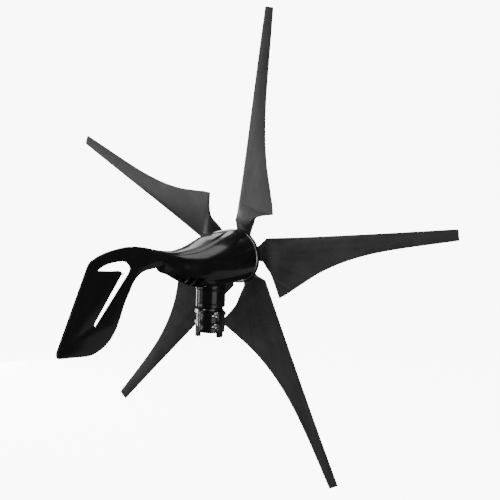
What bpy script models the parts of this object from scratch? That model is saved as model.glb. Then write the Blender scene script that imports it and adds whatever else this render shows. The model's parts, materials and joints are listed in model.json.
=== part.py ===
"""Small five-blade wind turbine with a tail vane, on a clamp for a round mast.

Units are metres. The origin is on the yaw axis in the lower face of the mast clamp,
+Z up and +X towards the nose. The rotor turns on an axis along X at HUB_Z, and the
nacelle with its tail turns on the Z axis.
"""
import math

import bmesh
import bpy
from mathutils import Matrix, Vector

MM = 0.001
GAP = 0.3 * MM                      # play between neighbouring pieces

# ---- driving dimensions -------------------------------------------------------------
HUB_Z = 0.169                       # rotor axis above the clamp's lower face
BLADE_COUNT = 5
BLADE_START = math.radians(5.8)     # first blade, from straight up
BLADE_X = 0.1123                    # plane of the blade tips

MAST_DIAMETER = 0.0483              # 1 1/2 inch pipe
CLAMP_HEIGHT = 0.053
CLAMP_RADIUS = 0.0325
CLAMP_SPLIT = 0.8 * MM              # from the split plane to each half
CLAMP_TOP_CHAMFER = 2.0 * MM
CLAMP_EAR = 0.0112                  # thickness of the ears, from the split plane
CLAMP_BOLT_SEAT = 0.0108            # spot-faced seats of the heads and nuts
SPOT_FACE_RADIUS = 0.0063
CLAMP_BOLT_Y = 0.0312
CLAMP_BOLT_Z = (0.0450, 0.0180)
CLAMP_BOLT_LENGTH = 0.038
EAR_Y = (0.0262, 0.0362)
EAR_Z = (0.0007, 0.0523)
BAND_HALF = 5.5 * MM                # half height of the recess round each pair of bolts
BAND_DEPTH = 1.6 * MM
LEG_BOX = (0.0252, 0.0352, 0.0068)  # inner and outer reach, half width
LEG_TOP = 0.012
LEG_DROP = 0.0112                   # three legs reach this far below the clamp's body
LEG_ANGLES = (math.radians(-90), math.radians(30), math.radians(150))
NECK_RADIUS = 0.035
NECK_BOTTOM = 0.0585
NECK_TOP = 0.1175
NECK_FOOT_CHAMFER = 3.0 * MM
NECK_GROOVE = (0.0697, 0.0718)      # a groove round the neck, over the bead at its foot
NECK_GROOVE_DEPTH = 1.3 * MM
NECK_COLLAR = (0.1030, 0.1078)      # a collar where the neck enters the belly
NECK_COLLAR_RADIUS = 0.0366
HOUSING_LIP_RADIUS = 0.0215
YAW_SHAFT_RADIUS = 0.015
YAW_SHAFT_TOP = 0.1560
YAW_SHAFT_SHOULDER = 0.0195
BUSH_RADIUS = 0.0190
BUSH_Z = (0.0860, 0.1165)
YAW_NUT_RADIUS = 0.0215
YAW_NUT_Z = (0.1265, 0.1340)
CABLE_BORE_RADIUS = 0.010
SPIGOT_BOTTOM = 0.036               # the mast's end stops here
YAW_BEARING_Z = 0.0700
YAW_BEARING_WIDTH = 0.013
SEAT_RADIUS = 0.0275                # outer race of the yaw bearing
SLIP_RING_Z = 0.1385                # middle of the lowest slip ring
SLIP_RING_PITCH = 0.0065
SLIP_RING_RADIUS = 0.0185
SLIP_RING_HALF = 2.0 * MM
CARRIER_RADIUS = 0.0160
CARRIER_Z = (0.1346, 0.1555)
GROMMET_Z = (0.1500, 0.1563, 0.1592)
BRUSH_HALF = 1.6 * MM
BRUSH_LENGTH = 0.0105
BRUSH_FACE_X = -0.0188
BRUSH_HOLDER = ((-0.0360, -0.010, 0.1350), (-0.0205, 0.010, 0.1555))
TERMINAL_BLOCK = ((-0.0880, -0.016, 0.1560), (-0.0560, 0.016, 0.1700))

SHELL = 3.0 * MM                    # wall of the nacelle castings
NOSE_X = 0.0875                     # front rim of the nacelle
TAIL_JOINT_X = -0.199               # the tail vane butts on the boom here
VANE_THICKNESS = 5.6 * MM

SHAFT_RADIUS = 8.5 * MM
BEARING_RADIUS = 20.0 * MM
BEARING_WIDTH = 10.0 * MM
REAR_BEARING_X = 0.0240
FRONT_BEARING_X = 0.0735
REAR_PLATE_RADIUS = 0.050
REAR_PLATE_BOSS = 0.0255
REAR_PLATE_X = (0.0235, 0.0300, 0.0335)
FRONT_COVER_X = (0.0735, 0.0835)
STATOR_X = (0.0385, 0.0655)
STATOR_RADIUS = 0.048
WINDING_WIDTH = 4.0 * MM
WINDING_RADII = (0.0340, 0.0440)
ROTOR_CORE_X = (0.0390, 0.0650)
ROTOR_CORE_RADIUS = 0.0262
AIR_GAP_RADIUS = 0.0310
AIR_GAP_HALF = 0.5 * MM
SHAFT_X = (0.0200, 0.1360)

HUB_PLATE_X = (0.0945, 0.1015)
HUB_PLATE_RADIUS = 0.066
HUB_PLATE_ROUND = 1.5 * MM
HUB_BOSS_RADIUS = 0.0170
HUB_BOSS_X = 0.0850
CLAMP_PLATE_X = (0.1190, 0.1230)
CLAMP_PLATE_RADIUS = 0.0400
NOSE_CONE_X = (0.1193, 0.1680)
NOSE_CONE_RADIUS = 0.0440
BLADE_BOLT_RADIAL = 0.0315
BLADE_BOLT_SIDE = 0.0082
M6_RADIUS = 2.8 * MM
M6_HOLE = 3.2 * MM
M6_HEAD = 10.0 * MM                 # across flats
M6_HEAD_HEIGHT = 4.0 * MM
BLADE_BOLT_LENGTH = 0.0265
SHAFT_NUT_RADIUS = 0.0130
SHAFT_NUT_HEIGHT = 0.0097

# Nacelle and boom, in millimetres: x, then heights over the rotor axis, half width.
BODY_TOP = ((-199, 53), (-167, 46), (-136, 42), (-113, 42.5), (-84, 45.5), (-60, 50.5),
            (-42, 55.5), (-25, 60.5), (4, 66.5), (33, 68.5), (62, 68.8), (87.5, 68))
BODY_BOTTOM = ((-199, 10), (-190, 8), (-180, -2), (-159, -10), (-131, -24.5), (-109, -35.5),
               (-75, -50), (-18, -60.5), (34, -61.5), (69, -59), (87.5, -57.5))
BODY_SIDE = ((-199, 15), (-167, 19), (-136, 27), (-113, 36), (-84, 47), (-60, 55),
             (-25, 62), (4, 65.5), (33, 67), (62, 67.5), (87.5, 67.5))
BODY_WIDEST = ((-199, 33), (-167, 27), (-136, 18), (-113, 10), (-84, 4), (-60, 1),
               (-25, 0), (87.5, 0))
BODY_ROUNDNESS = 2.05               # exponent of the cross-section, 2 is an ellipse
# Parting line between the cover and the base, seen from the side.
PARTING = ((-200, 11), (-186, 7), (-160, 0), (-130, -9), (-100, -17.5), (-72, -23.5),
           (-40, -25.5), (0, -25), (90, -24))

VENT_COUNT = 4
VENT_X = -147                       # upper rear corner of the rearmost vent, in mm
VENT_PITCH = 19
VENT_WIDTH = 16.2
VENT_SLANT = 5                      # a vent's lower end lies this far ahead
VENT_EDGE = 4.5                     # from a vent to the parting line or the belly

# Tail vane, seen from the side: x, height over the rotor axis.
BOOM_TOP = ((-199, 53), (-233, 62), (-262, 67.5), (-274, 68))
BOOM_BOTTOM = ((-199, 10), (-225, 8.5), (-240, 5), (-257, -6), (-274, -26))
BOOM_SIDE = ((-199, 15), (-225, 11), (-250, 6), (-274, 2.6))
BOOM_WIDEST = ((-199, 33), (-225, 34), (-250, 32), (-274, 21))
BOOM_BUTT = -199.9                  # the boom's own end face, just behind the joint
BOOM_STATIONS = (-210, -222, -234, -246, -256, -265, -274)
SPIGOT_STATIONS = (-178, -188, -198)
SPIGOT_INSET = 4.7                  # the spigot lies this far inside the nacelle's outline
VANE_TOP = ((-256, 62), (-276, 68.6), (-305, 69), (-340, 66), (-370, 60), (-394, 51))
VANE_REAR = ((-401, 44), (-489, -131), (-486, -142), (-404, -153))
VANE_FRONT = ((-384, -152), (-354, -142), (-327, -121), (-308, -91), (-293, -57), (-277, -31),
              (-256, 4))
SLOT_OUTER = ((-374, 29), (-352, 37.5), (-320, 40), (-292, 37), (-277, 25), (-277, 13),
              (-300, -12), (-379, -94))
SLOT_INNER = ((-384, -87), (-308, 4), (-302, 12), (-309, 19.5), (-335, 22.5), (-366, 27.5))

# The blade, all in millimetres against the distance from the axis. First the leading and
# the trailing edge across it (trailing side positive); both have a corner, between a curve
# for the root and one for the wing.
ROOT_LEADING = ((24, -12), (44, -15), (60, -18), (70, -25), (81, -34.5))
WING_LEADING = ((81, -34.5), (205, -27.5), (410, -19.2), (600, -12.6))
ROOT_TRAILING = ((24, 12), (44, 17), (68, 20.5), (90, 36), (108, 50), (120, 77), (129, 107))
WING_TRAILING = ((129, 107), (150, 98.5), (175, 86), (240, 56.5), (315, 35), (410, 21.6),
                 (600, 12.3))
# The same edges along the axis, forward positive.
LEADING_X = ((24, -2), (44, -2), (58, -1), (68, 3.5), (81, 7.5), (121, 7.6), (205, 6.6), (315, 4.4),
             (470, 1.5), (600, 0.8))
ROOT_TRAILING_X = ((24, -2), (68, -2.4), (80, -10), (100, -24), (118, -34), (129, -37.5))
WING_TRAILING_X = ((129, -37.5), (150, -32), (205, -21), (275, -11.6), (360, -4.2),
                   (470, -0.6), (600, -1))
# The greatest thickness, and that of the trailing edge.
BLADE_THICKNESS = ((24, 16.5), (58, 16), (77, 12), (100, 9.6), (121, 8.6), (205, 8.2),
                   (315, 6.4), (410, 5.2), (600, 4))
TRAILING_THICKNESS = ((24, 16), (58, 15.5), (77, 13), (100, 10), (121, 5), (148, 2.6),
                      (205, 1.4), (240, 1.2), (600, 1.2))
BLADE_STATIONS = (24, 44, 58, 68, 75, 81, 90, 99, 108, 114, 120, 129, 138, 150, 175, 205, 240,
                  275, 315, 360, 410, 470, 535, 600)
BLADE_CAMBER = 0.022                # of the chord
BLADE_SIDE_POINTS = 6               # points along each face of a blade section
BLADE_SLAB_END = 62                 # the root is a flat slab up to here
BLADE_WING_START = 100              # and a wing section from here on

CAGE_HALF = 0.7 * MM                # half the wall of a ball cage
BALL_RADIUS = 1.9 * MM
SHAFT_BALLS = (0.01425, 7)          # pitch radius and count
YAW_BALLS = (0.02125, 9)

# ---- scene helpers --------------------------------------------------------------------
for old in list(bpy.data.objects):
    bpy.data.objects.remove(old, do_unlink=True)

scene = bpy.context.scene
parts = bpy.data.collections.new("small_wind_turbine")
cutters = bpy.data.collections.new("cutters")
scene.collection.children.link(parts)
scene.collection.children.link(cutters)


def material(name, colour, roughness, metallic=0.0):
    mat = bpy.data.materials.new(name)
    mat.use_nodes = True
    shader = mat.node_tree.nodes["Principled BSDF"]
    shader.inputs["Base Color"].default_value = (*colour, 1.0)
    shader.inputs["Roughness"].default_value = roughness
    shader.inputs["Metallic"].default_value = metallic
    mat.diffuse_color = (*colour, 1.0)
    return mat


GLOSS_BLACK = material("gloss_black_paint", (0.008, 0.008, 0.009), 0.12)
NYLON = material("charcoal_nylon", (0.022, 0.023, 0.025), 0.45)
STEEL = material("zinc_plated_steel", (0.62, 0.63, 0.64), 0.30, 1.0)
GROUND_STEEL = material("ground_steel", (0.50, 0.51, 0.53), 0.18, 1.0)
ALUMINIUM = material("cast_aluminium", (0.55, 0.56, 0.57), 0.42, 1.0)
LAMINATION = material("electrical_steel", (0.22, 0.22, 0.24), 0.45, 1.0)
COPPER = material("enamelled_copper", (0.50, 0.17, 0.05), 0.30, 1.0)
BRASS = material("brass", (0.72, 0.50, 0.20), 0.25, 1.0)
MAGNET = material("magnet_plating", (0.48, 0.47, 0.45), 0.25, 1.0)
PLASTIC = material("black_moulding", (0.02, 0.02, 0.02), 0.55)
RUBBER = material("black_rubber", (0.015, 0.015, 0.015), 0.80)
CARBON = material("brush_carbon", (0.03, 0.03, 0.032), 0.60)


def empty(name, location, parent=None):
    obj = bpy.data.objects.new(name, None)
    obj.location = location
    obj.parent = parent
    parts.objects.link(obj)
    return obj


def add(name, mesh, mat=None, parent=None, location=(0, 0, 0), rotation=(0, 0, 0)):
    """A part when it has a material, and otherwise a cutter."""
    obj = bpy.data.objects.new(name, mesh)
    obj.location = location
    obj.rotation_euler = rotation
    if mat is None:
        cutters.objects.link(obj)
        obj.hide_render = True
        obj.display_type = "WIRE"
        return obj
    obj.parent = parent
    parts.objects.link(obj)
    if not mesh.materials:
        mesh.materials.append(mat)
    return obj


def to_mesh(name, builder):
    mesh = bpy.data.meshes.new(name)
    builder.normal_update()
    builder.to_mesh(mesh)
    builder.free()
    return mesh


def smooth_shading(mesh, angle=35):
    mesh.shade_smooth()
    mesh.set_sharp_from_angle(angle=math.radians(angle))


def evaluated_mesh(obj, name):
    """The object's mesh with its modifiers in it; the object is removed."""
    bpy.context.view_layer.update()
    graph = bpy.context.evaluated_depsgraph_get()
    mesh = bpy.data.meshes.new_from_object(obj.evaluated_get(graph))
    mesh.name = name
    mesh.transform(obj.matrix_world)
    bpy.data.objects.remove(obj, do_unlink=True)
    builder = bmesh.new()
    builder.from_mesh(mesh)
    bmesh.ops.remove_doubles(builder, verts=builder.verts, dist=1e-6)
    bmesh.ops.recalc_face_normals(builder, faces=builder.faces)
    builder.to_mesh(mesh)
    builder.free()
    return mesh


def screw(obj, steps):
    turn = obj.modifiers.new("turn", "SCREW")
    turn.axis = "Z"
    turn.steps = turn.render_steps = steps
    turn.use_merge_vertices = True
    turn.merge_threshold = 0.00005
    turn.use_smooth_shade = True


def turned(name, profile, mat=None, parent=None, location=(0, 0, 0), along_x=False, steps=20):
    """A turned piece. The profile is (radius, height) down the outside, then back up the
    bore; it is closed when it has a bore, and ends on the axis when it hasn't."""
    closed = profile[0][0] > 0 and profile[-1][0] > 0
    count = len(profile)
    edges = [(i, i + 1) for i in range(count - 1)]
    if closed:
        edges.append((count - 1, 0))
    mesh = bpy.data.meshes.new(name)
    mesh.from_pydata([(r, 0.0, z) for r, z in profile], edges, [])
    turn = (0, math.pi / 2, 0) if along_x else (0, 0, 0)
    obj = add(name, mesh, mat, parent, location, turn)
    screw(obj, steps)
    return obj


def ring(name, inner, outer, low, high, mat=None, **more):
    profile = [(outer, high), (outer, low), (inner, low), (inner, high)]
    return turned(name, profile, mat, **more)


def prism_mesh(name, radius, length, sides=10):
    """A prism or, with many sides, a cylinder from z = 0 up to its length."""
    builder = bmesh.new()
    bmesh.ops.create_cone(builder, cap_ends=True, segments=sides, radius1=radius,
                          radius2=radius, depth=length)
    bmesh.ops.translate(builder, verts=builder.verts, vec=(0, 0, length / 2))
    return to_mesh(name, builder)


def rod_cutter(name, radius, start, end, sides=10):
    start, end = Vector(start), Vector(end)
    obj = add(name, prism_mesh(name, radius, (end - start).length, sides), location=start)
    obj.rotation_euler = (end - start).to_track_quat("Z", "Y").to_euler()
    return obj


def box_mesh(name, low, high):
    builder = bmesh.new()
    bmesh.ops.create_cube(builder, size=1.0)
    for vert in builder.verts:
        vert.co = [low[i] + (vert.co[i] + 0.5) * (high[i] - low[i]) for i in range(3)]
    return to_mesh(name, builder)


def box(name, low, high, mat=None, parent=None, location=(0, 0, 0)):
    return add(name, box_mesh(name, low, high), mat, parent, location)


def bevel(obj, width, segments=2):
    edge = obj.modifiers.new("edges", "BEVEL")
    edge.width = width
    edge.segments = segments
    edge.limit_method = "ANGLE"
    edge.angle_limit = math.radians(40)


def boolean(obj, other, operation="DIFFERENCE", solver="EXACT"):
    cut = obj.modifiers.new("boolean", "BOOLEAN")
    cut.object = other
    cut.operation = operation
    cut.solver = solver


def hex_bolt_mesh(name, shank_radius, shank_length, across, head_height):
    """Head on top of z = 0, shank below it."""
    head = bmesh.new()
    bmesh.ops.create_cone(head, cap_ends=True, segments=6, radius1=across / math.sqrt(3),
                          radius2=across / math.sqrt(3), depth=head_height)
    bmesh.ops.translate(head, verts=head.verts, vec=(0, 0, head_height / 2))
    base = add(name, to_mesh(name, head), STEEL)
    shank = add(name + "_shank", prism_mesh(name, shank_radius, shank_length + head_height / 2))
    shank.location.z = -shank_length
    boolean(base, shank, "UNION")
    mesh = evaluated_mesh(base, name)
    smooth_shading(mesh)
    return mesh


def curve_value(table, x):
    """Smooth curve through a table of (x, value), by cubic Hermite pieces."""
    points = sorted(table)
    x = min(max(x, points[0][0]), points[-1][0])
    slopes = []
    for i in range(len(points)):
        a, b = points[max(i - 1, 0)], points[min(i + 1, len(points) - 1)]
        slopes.append((b[1] - a[1]) / (b[0] - a[0]))
    for i in range(len(points) - 1):
        (x0, y0), (x1, y1) = points[i], points[i + 1]
        if x <= x1:
            break
    span = x1 - x0
    s = (x - x0) / span
    return ((2 * s**3 - 3 * s**2 + 1) * y0 + (s**3 - 2 * s**2 + s) * span * slopes[i]
            + (3 * s**2 - 2 * s**3) * y1 + (s**3 - s**2) * span * slopes[i + 1])


def smooth_path(points, steps=4):
    """Points along a smooth open curve through the given points."""
    path = [Vector(p) for p in points]
    out = []
    for i in range(len(path) - 1):
        before = path[max(i - 1, 0)]
        after = path[min(i + 2, len(path) - 1)]
        here, there = path[i], path[i + 1]
        for k in range(steps):
            s = k / steps
            out.append(here * (2 * s**3 - 3 * s**2 + 1) + there * (3 * s**2 - 2 * s**3)
                       + (there - before) / 2 * (s**3 - 2 * s**2 + s)
                       + (after - here) / 2 * (s**3 - s**2))
    out.append(path[-1])
    return out


def flat_outline(name, outlines, thickness, mat=None, parent=None):
    """Outlines in the XZ plane, the first one outside and the others holes in it."""
    curve = bpy.data.curves.new(name, "CURVE")
    curve.dimensions = "2D"
    curve.fill_mode = "BOTH"
    curve.extrude = thickness / 2
    for outline in outlines:
        spline = curve.splines.new("POLY")
        spline.points.add(len(outline) - 1)
        spline.use_cyclic_u = True
        for point, (x, z) in zip(spline.points, outline):
            point.co = (x, z, 0, 1)
    flat = bpy.data.objects.new(name, curve)
    flat.rotation_euler = (math.pi / 2, 0, 0)
    scene.collection.objects.link(flat)
    return add(name, evaluated_mesh(flat, name), mat, parent)


def loft(name, sections):
    """A closed solid through rings of equally many points."""
    builder = bmesh.new()
    rings = [[builder.verts.new(p) for p in section] for section in sections]
    count = len(rings[0])
    for a, b in zip(rings, rings[1:]):
        for i in range(count):
            j = (i + 1) % count
            builder.faces.new((a[i], a[j], b[j], b[i]))
    builder.faces.new(rings[0])
    builder.faces.new(rings[-1])
    bmesh.ops.recalc_face_normals(builder, faces=builder.faces)
    return to_mesh(name, builder)


def body_section(x, top, bottom, side, widest, inset=0.0, count=36):
    """Ring of the rounded cross-section at x; all heights over the rotor axis, in mm."""
    power = 2 / BODY_ROUNDNESS
    points = []
    for k in range(count):
        angle = 2 * math.pi * k / count
        across, up = math.sin(angle), math.cos(angle)
        tall = (top - widest if up > 0 else widest - bottom) - inset
        y = math.copysign(abs(across) ** power, across) * (side - inset)
        z = widest + math.copysign(abs(up) ** power, up) * tall
        points.append((x * MM, y * MM, HUB_Z + z * MM))
    return points


def nacelle_section(x, inset=0.0, count=30):
    return body_section(x, curve_value(BODY_TOP, x), curve_value(BODY_BOTTOM, x),
                        curve_value(BODY_SIDE, x), curve_value(BODY_WIDEST, x), inset, count)


# ---- pieces of the mast mount (fixed) ------------------------------------------------
mast_mount = empty("mast_mount", (0, 0, 0))


def clamp_half(name, sign):
    """Half of the mast clamp: a grooved half shell with two bolted ears."""
    bore = MAST_DIAMETER / 2 + GAP / 2
    band = CLAMP_RADIUS - BAND_DEPTH
    slope = 0.5 * MM
    profile = [(CLAMP_RADIUS - CLAMP_TOP_CHAMFER, CLAMP_HEIGHT),
               (CLAMP_RADIUS, CLAMP_HEIGHT - CLAMP_TOP_CHAMFER)]
    for z in CLAMP_BOLT_Z:
        profile += [(CLAMP_RADIUS, z + BAND_HALF + slope), (band, z + BAND_HALF - slope),
                    (band, z - BAND_HALF + slope), (CLAMP_RADIUS, z - BAND_HALF - slope)]
    profile += [(CLAMP_RADIUS, 0), (bore, 0), (bore, CLAMP_HEIGHT)]
    half = turned(name, profile, GLOSS_BLACK, mast_mount, steps=32)
    for side in (-1, 1):
        ys = sorted(side * y for y in EAR_Y)
        xs = sorted((0, sign * CLAMP_EAR))
        ear = box(f"{name}_ear", (xs[0], ys[0], EAR_Z[0]), (xs[1], ys[1], EAR_Z[1]))
        boolean(half, ear, "UNION")
    inner, outer, half_width = LEG_BOX
    for angle in LEG_ANGLES:
        leg = box(f"{name}_leg", (inner, -half_width, -LEG_DROP), (outer, half_width, LEG_TOP))
        leg.rotation_euler.z = angle
        reaches_this_half = sign * math.cos(angle) > -0.1
        if reaches_this_half:
            boolean(half, leg, "UNION")
    xs = sorted((sign * CLAMP_SPLIT, sign * 0.06))
    keep = box(f"{name}_side", (xs[0], -0.06, -0.03), (xs[1], 0.06, 0.08))
    boolean(half, keep, "INTERSECT")
    for side in (-1, 1):
        for z in CLAMP_BOLT_Z:
            y = side * CLAMP_BOLT_Y
            boolean(half, rod_cutter(f"{name}_hole", M6_HOLE, (-0.03, y, z), (0.03, y, z)))
            boolean(half, rod_cutter(f"{name}_spot_face", SPOT_FACE_RADIUS,
                                     (sign * CLAMP_BOLT_SEAT, y, z), (sign * 0.05, y, z), 16))


for sign, label in ((-1, "rear"), (1, "front")):
    clamp_half(f"clamp_{label}_half", sign)
clamp_bolt_mesh = hex_bolt_mesh("clamp_bolt", M6_RADIUS, CLAMP_BOLT_LENGTH, M6_HEAD,
                                M6_HEAD_HEIGHT)
for index in range(4):
    side = 1 if index < 2 else -1
    place = (side * (CLAMP_BOLT_SEAT + GAP), -side * CLAMP_BOLT_Y, CLAMP_BOLT_Z[index % 2])
    add(f"clamp_bolt_{index + 1}", clamp_bolt_mesh, STEEL, mast_mount, place,
        (0, side * math.pi / 2, 0))

neck_turn = YAW_SHAFT_RADIUS - 1 * MM
spigot_radius = MAST_DIAMETER / 2 - GAP
shoulder_top = YAW_BEARING_Z - 0.4 * MM
turned("yaw_shaft", [(neck_turn, YAW_SHAFT_TOP), (neck_turn, YAW_NUT_Z[1] + 0.5 * MM),
                     (YAW_SHAFT_RADIUS, YAW_NUT_Z[1] + 0.5 * MM), (YAW_SHAFT_RADIUS, shoulder_top),
                     (YAW_SHAFT_SHOULDER, shoulder_top), (YAW_SHAFT_SHOULDER, CLAMP_HEIGHT),
                     (spigot_radius, CLAMP_HEIGHT), (spigot_radius, SPIGOT_BOTTOM),
                     (CABLE_BORE_RADIUS, SPIGOT_BOTTOM), (CABLE_BORE_RADIUS, YAW_SHAFT_TOP)],
       GROUND_STEEL, mast_mount)
grommet_bore = 0.0072
grommet_rim = 0.0127
turned("cable_grommet", [(grommet_rim, GROMMET_Z[2]), (grommet_rim, GROMMET_Z[1]),
                         (CABLE_BORE_RADIUS - GAP, GROMMET_Z[1]),
                         (CABLE_BORE_RADIUS - GAP, GROMMET_Z[0]), (grommet_bore, GROMMET_Z[0]),
                         (grommet_bore, GROMMET_Z[2])], RUBBER, mast_mount, steps=24)
ring("yaw_bearing_inner_race", YAW_SHAFT_RADIUS + GAP, 0.0190, YAW_BEARING_Z,
     YAW_BEARING_Z + YAW_BEARING_WIDTH, GROUND_STEEL, parent=mast_mount)
ring("yaw_nut", YAW_SHAFT_RADIUS + GAP, YAW_NUT_RADIUS, *YAW_NUT_Z, STEEL, parent=mast_mount,
     steps=24)
ring("slip_ring_carrier", neck_turn + GAP, CARRIER_RADIUS, *CARRIER_Z, PLASTIC,
     parent=mast_mount)
for index in range(3):
    middle = SLIP_RING_Z + index * SLIP_RING_PITCH
    ring(f"slip_ring_{index + 1}", CARRIER_RADIUS + GAP, SLIP_RING_RADIUS,
         middle - SLIP_RING_HALF, middle + SLIP_RING_HALF, BRASS, parent=mast_mount)

# ---- pieces of the nacelle (turns on the mast) ----------------------------------------
nacelle = empty("nacelle", (0, 0, 0))


def body_shell(name, count=30):
    """The hollow body from the tail joint to the front rim, open at both ends."""
    stations = [TAIL_JOINT_X / MM, -190, -182, -173, -160, -144, -127, -108, -88, -67,
                -45, -22, 4, 33, 62, NOSE_X / MM]
    rings = []
    builder = bmesh.new()
    for x in stations:
        rings.append([builder.verts.new(p) for p in nacelle_section(x, count=count)])
    for a, b in zip(rings, rings[1:]):
        for i in range(count):
            j = (i + 1) % count
            builder.faces.new((a[i], b[i], b[j], a[j]))
    mesh = to_mesh(name, builder)
    shell = add(name, mesh, GLOSS_BLACK, nacelle)
    wall = shell.modifiers.new("wall", "SOLIDIFY")
    wall.thickness = SHELL
    wall.offset = -1.0
    wall.use_even_offset = True
    return shell


def parting_block(name, shift):
    """Everything under the parting line, moved up or down by a shift in metres."""
    line = [(x * MM, HUB_Z + z * MM + shift) for x, z in PARTING]
    line[0] = (-0.21, line[0][1])
    line[-1] = (0.10, line[-1][1])
    outline = [(p.x, p.y) for p in smooth_path(line)]
    return flat_outline(name, [outline + [(0.10, 0.06), (-0.21, 0.06)]], 0.2)


cover = body_shell("nacelle_cover")
boolean(cover, parting_block("below_cover", GAP / 2))

base = body_shell("nacelle_base")
neck_space = rod_cutter("neck_space", NECK_RADIUS + GAP, (0, 0, 0.05), (0, 0, 0.14), sides=32)
boolean(base, neck_space, solver="MANIFOLD")
for index in range(VENT_COUNT):
    ends = (VENT_X + index * VENT_PITCH, VENT_X + index * VENT_PITCH + VENT_WIDTH)
    upper = [(x, curve_value(PARTING, x) - VENT_EDGE) for x in ends]
    lower = [(x + VENT_SLANT, curve_value(BODY_BOTTOM, x + VENT_SLANT) + VENT_EDGE) for x in ends]
    outline = [(x * MM, HUB_Z + z * MM) for x, z in upper + lower[::-1]]
    boolean(base, flat_outline(f"vent_{index + 1}", [outline], 0.2), solver="MANIFOLD")
boolean(base, parting_block("base_space", -GAP / 2), "INTERSECT", "MANIFOLD")

# The yaw housing: bearing seat below, bush seat above.
groove = NECK_RADIUS - NECK_GROOVE_DEPTH
seat_bottom = YAW_BEARING_Z - GAP
seat_top = YAW_BEARING_Z + YAW_BEARING_WIDTH + 1 * MM
turned("yaw_housing", [(NECK_RADIUS, NECK_TOP), (NECK_RADIUS, NECK_COLLAR[1]),
                       (NECK_COLLAR_RADIUS, NECK_COLLAR[1] - 1.6 * MM),
                       (NECK_COLLAR_RADIUS, NECK_COLLAR[0] + 1.2 * MM),
                       (NECK_RADIUS, NECK_COLLAR[0]), (NECK_RADIUS, NECK_GROOVE[1]),
                       (groove, NECK_GROOVE[1] - 0.6 * MM), (groove, NECK_GROOVE[0] + 0.6 * MM),
                       (NECK_RADIUS, NECK_GROOVE[0]), (NECK_RADIUS, NECK_BOTTOM + NECK_FOOT_CHAMFER),
                       (NECK_RADIUS - NECK_FOOT_CHAMFER, NECK_BOTTOM),
                       (HOUSING_LIP_RADIUS, NECK_BOTTOM),
                       (HOUSING_LIP_RADIUS, seat_bottom), (SEAT_RADIUS + GAP, seat_bottom),
                       (SEAT_RADIUS + GAP, seat_top), (BUSH_RADIUS, seat_top),
                       (BUSH_RADIUS, NECK_TOP)],
       GLOSS_BLACK, nacelle, steps=28)
ring("yaw_bush", YAW_SHAFT_RADIUS + GAP, BUSH_RADIUS - GAP, *BUSH_Z, BRASS, parent=nacelle)
ring("yaw_bearing_outer_race", 0.0235, SEAT_RADIUS, YAW_BEARING_Z,
     YAW_BEARING_Z + YAW_BEARING_WIDTH, GROUND_STEEL, parent=nacelle)


def section_plate(name, low_x, high_x, inset, hole_radius):
    """A plate with the nacelle's own outline, which closes its mouth."""
    x = high_x / MM
    outline = [(y, z) for _, y, z in nacelle_section(x, inset)]
    mesh = loft(name, [[(low_x, y, z) for y, z in outline], [(high_x, y, z) for y, z in outline]])
    plate = add(name, mesh, ALUMINIUM, nacelle)
    hole = rod_cutter(f"{name}_bore", hole_radius, (low_x - 0.02, 0, HUB_Z),
                      (high_x + 0.02, 0, HUB_Z), sides=32)
    boolean(plate, hole)
    return plate


section_plate("generator_front_cover", *FRONT_COVER_X, (SHELL + 1.0 * MM) / MM,
              BEARING_RADIUS + GAP)
hub = (0, 0, HUB_Z)
seat_radius = BEARING_RADIUS + GAP
low_x, step_x, high_x = REAR_PLATE_X
turned("rear_bearing_plate", [(REAR_PLATE_RADIUS, high_x), (REAR_PLATE_RADIUS, step_x),
                              (REAR_PLATE_BOSS, step_x), (REAR_PLATE_BOSS, low_x),
                              (seat_radius, low_x), (seat_radius, high_x)],
       ALUMINIUM, nacelle, hub, along_x=True)
ring("stator_core", AIR_GAP_RADIUS + AIR_GAP_HALF, STATOR_RADIUS, *STATOR_X, LAMINATION,
     parent=nacelle, location=hub, along_x=True)
for label, low_x in (("rear", STATOR_X[0] - WINDING_WIDTH - GAP), ("front", STATOR_X[1] + GAP)):
    high_x = low_x + WINDING_WIDTH
    inner, outer = WINDING_RADII
    turned(f"stator_winding_{label}", [(outer, high_x - 1 * MM), (outer, low_x + 1 * MM),
                                       (outer - 1.5 * MM, low_x), (inner + 1.5 * MM, low_x),
                                       (inner, low_x + 1 * MM), (inner, high_x)],
           COPPER, nacelle, hub, along_x=True)
for label, low_x in (("rear", REAR_BEARING_X), ("front", FRONT_BEARING_X)):
    ring(f"{label}_bearing_outer_race", 0.0165, BEARING_RADIUS, low_x, low_x + BEARING_WIDTH - GAP,
         GROUND_STEEL, parent=nacelle, location=hub, along_x=True)

# Brush gear behind the slip rings, and the block that takes the three leads.
brush_holder = box("brush_holder", *BRUSH_HOLDER, PLASTIC, nacelle)
slot_half = BRUSH_HALF + GAP
for index in range(3):
    middle = SLIP_RING_Z + index * SLIP_RING_PITCH
    slot = box(f"brush_slot_{index + 1}", (BRUSH_HOLDER[0][0] + 2 * MM, -slot_half, middle - slot_half),
               (BRUSH_HOLDER[1][0] + 1.5 * MM, slot_half, middle + slot_half))
    boolean(brush_holder, slot)
    carriage = empty(f"brush_{index + 1}_slide", (BRUSH_FACE_X, 0, middle), nacelle)
    box(f"brush_{index + 1}", (-BRUSH_LENGTH, -BRUSH_HALF, -BRUSH_HALF),
        (0, BRUSH_HALF, BRUSH_HALF), CARBON, carriage)
terminal_block = box("terminal_block", *TERMINAL_BLOCK, PLASTIC, nacelle)
bevel(terminal_block, 1.5 * MM)


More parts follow.
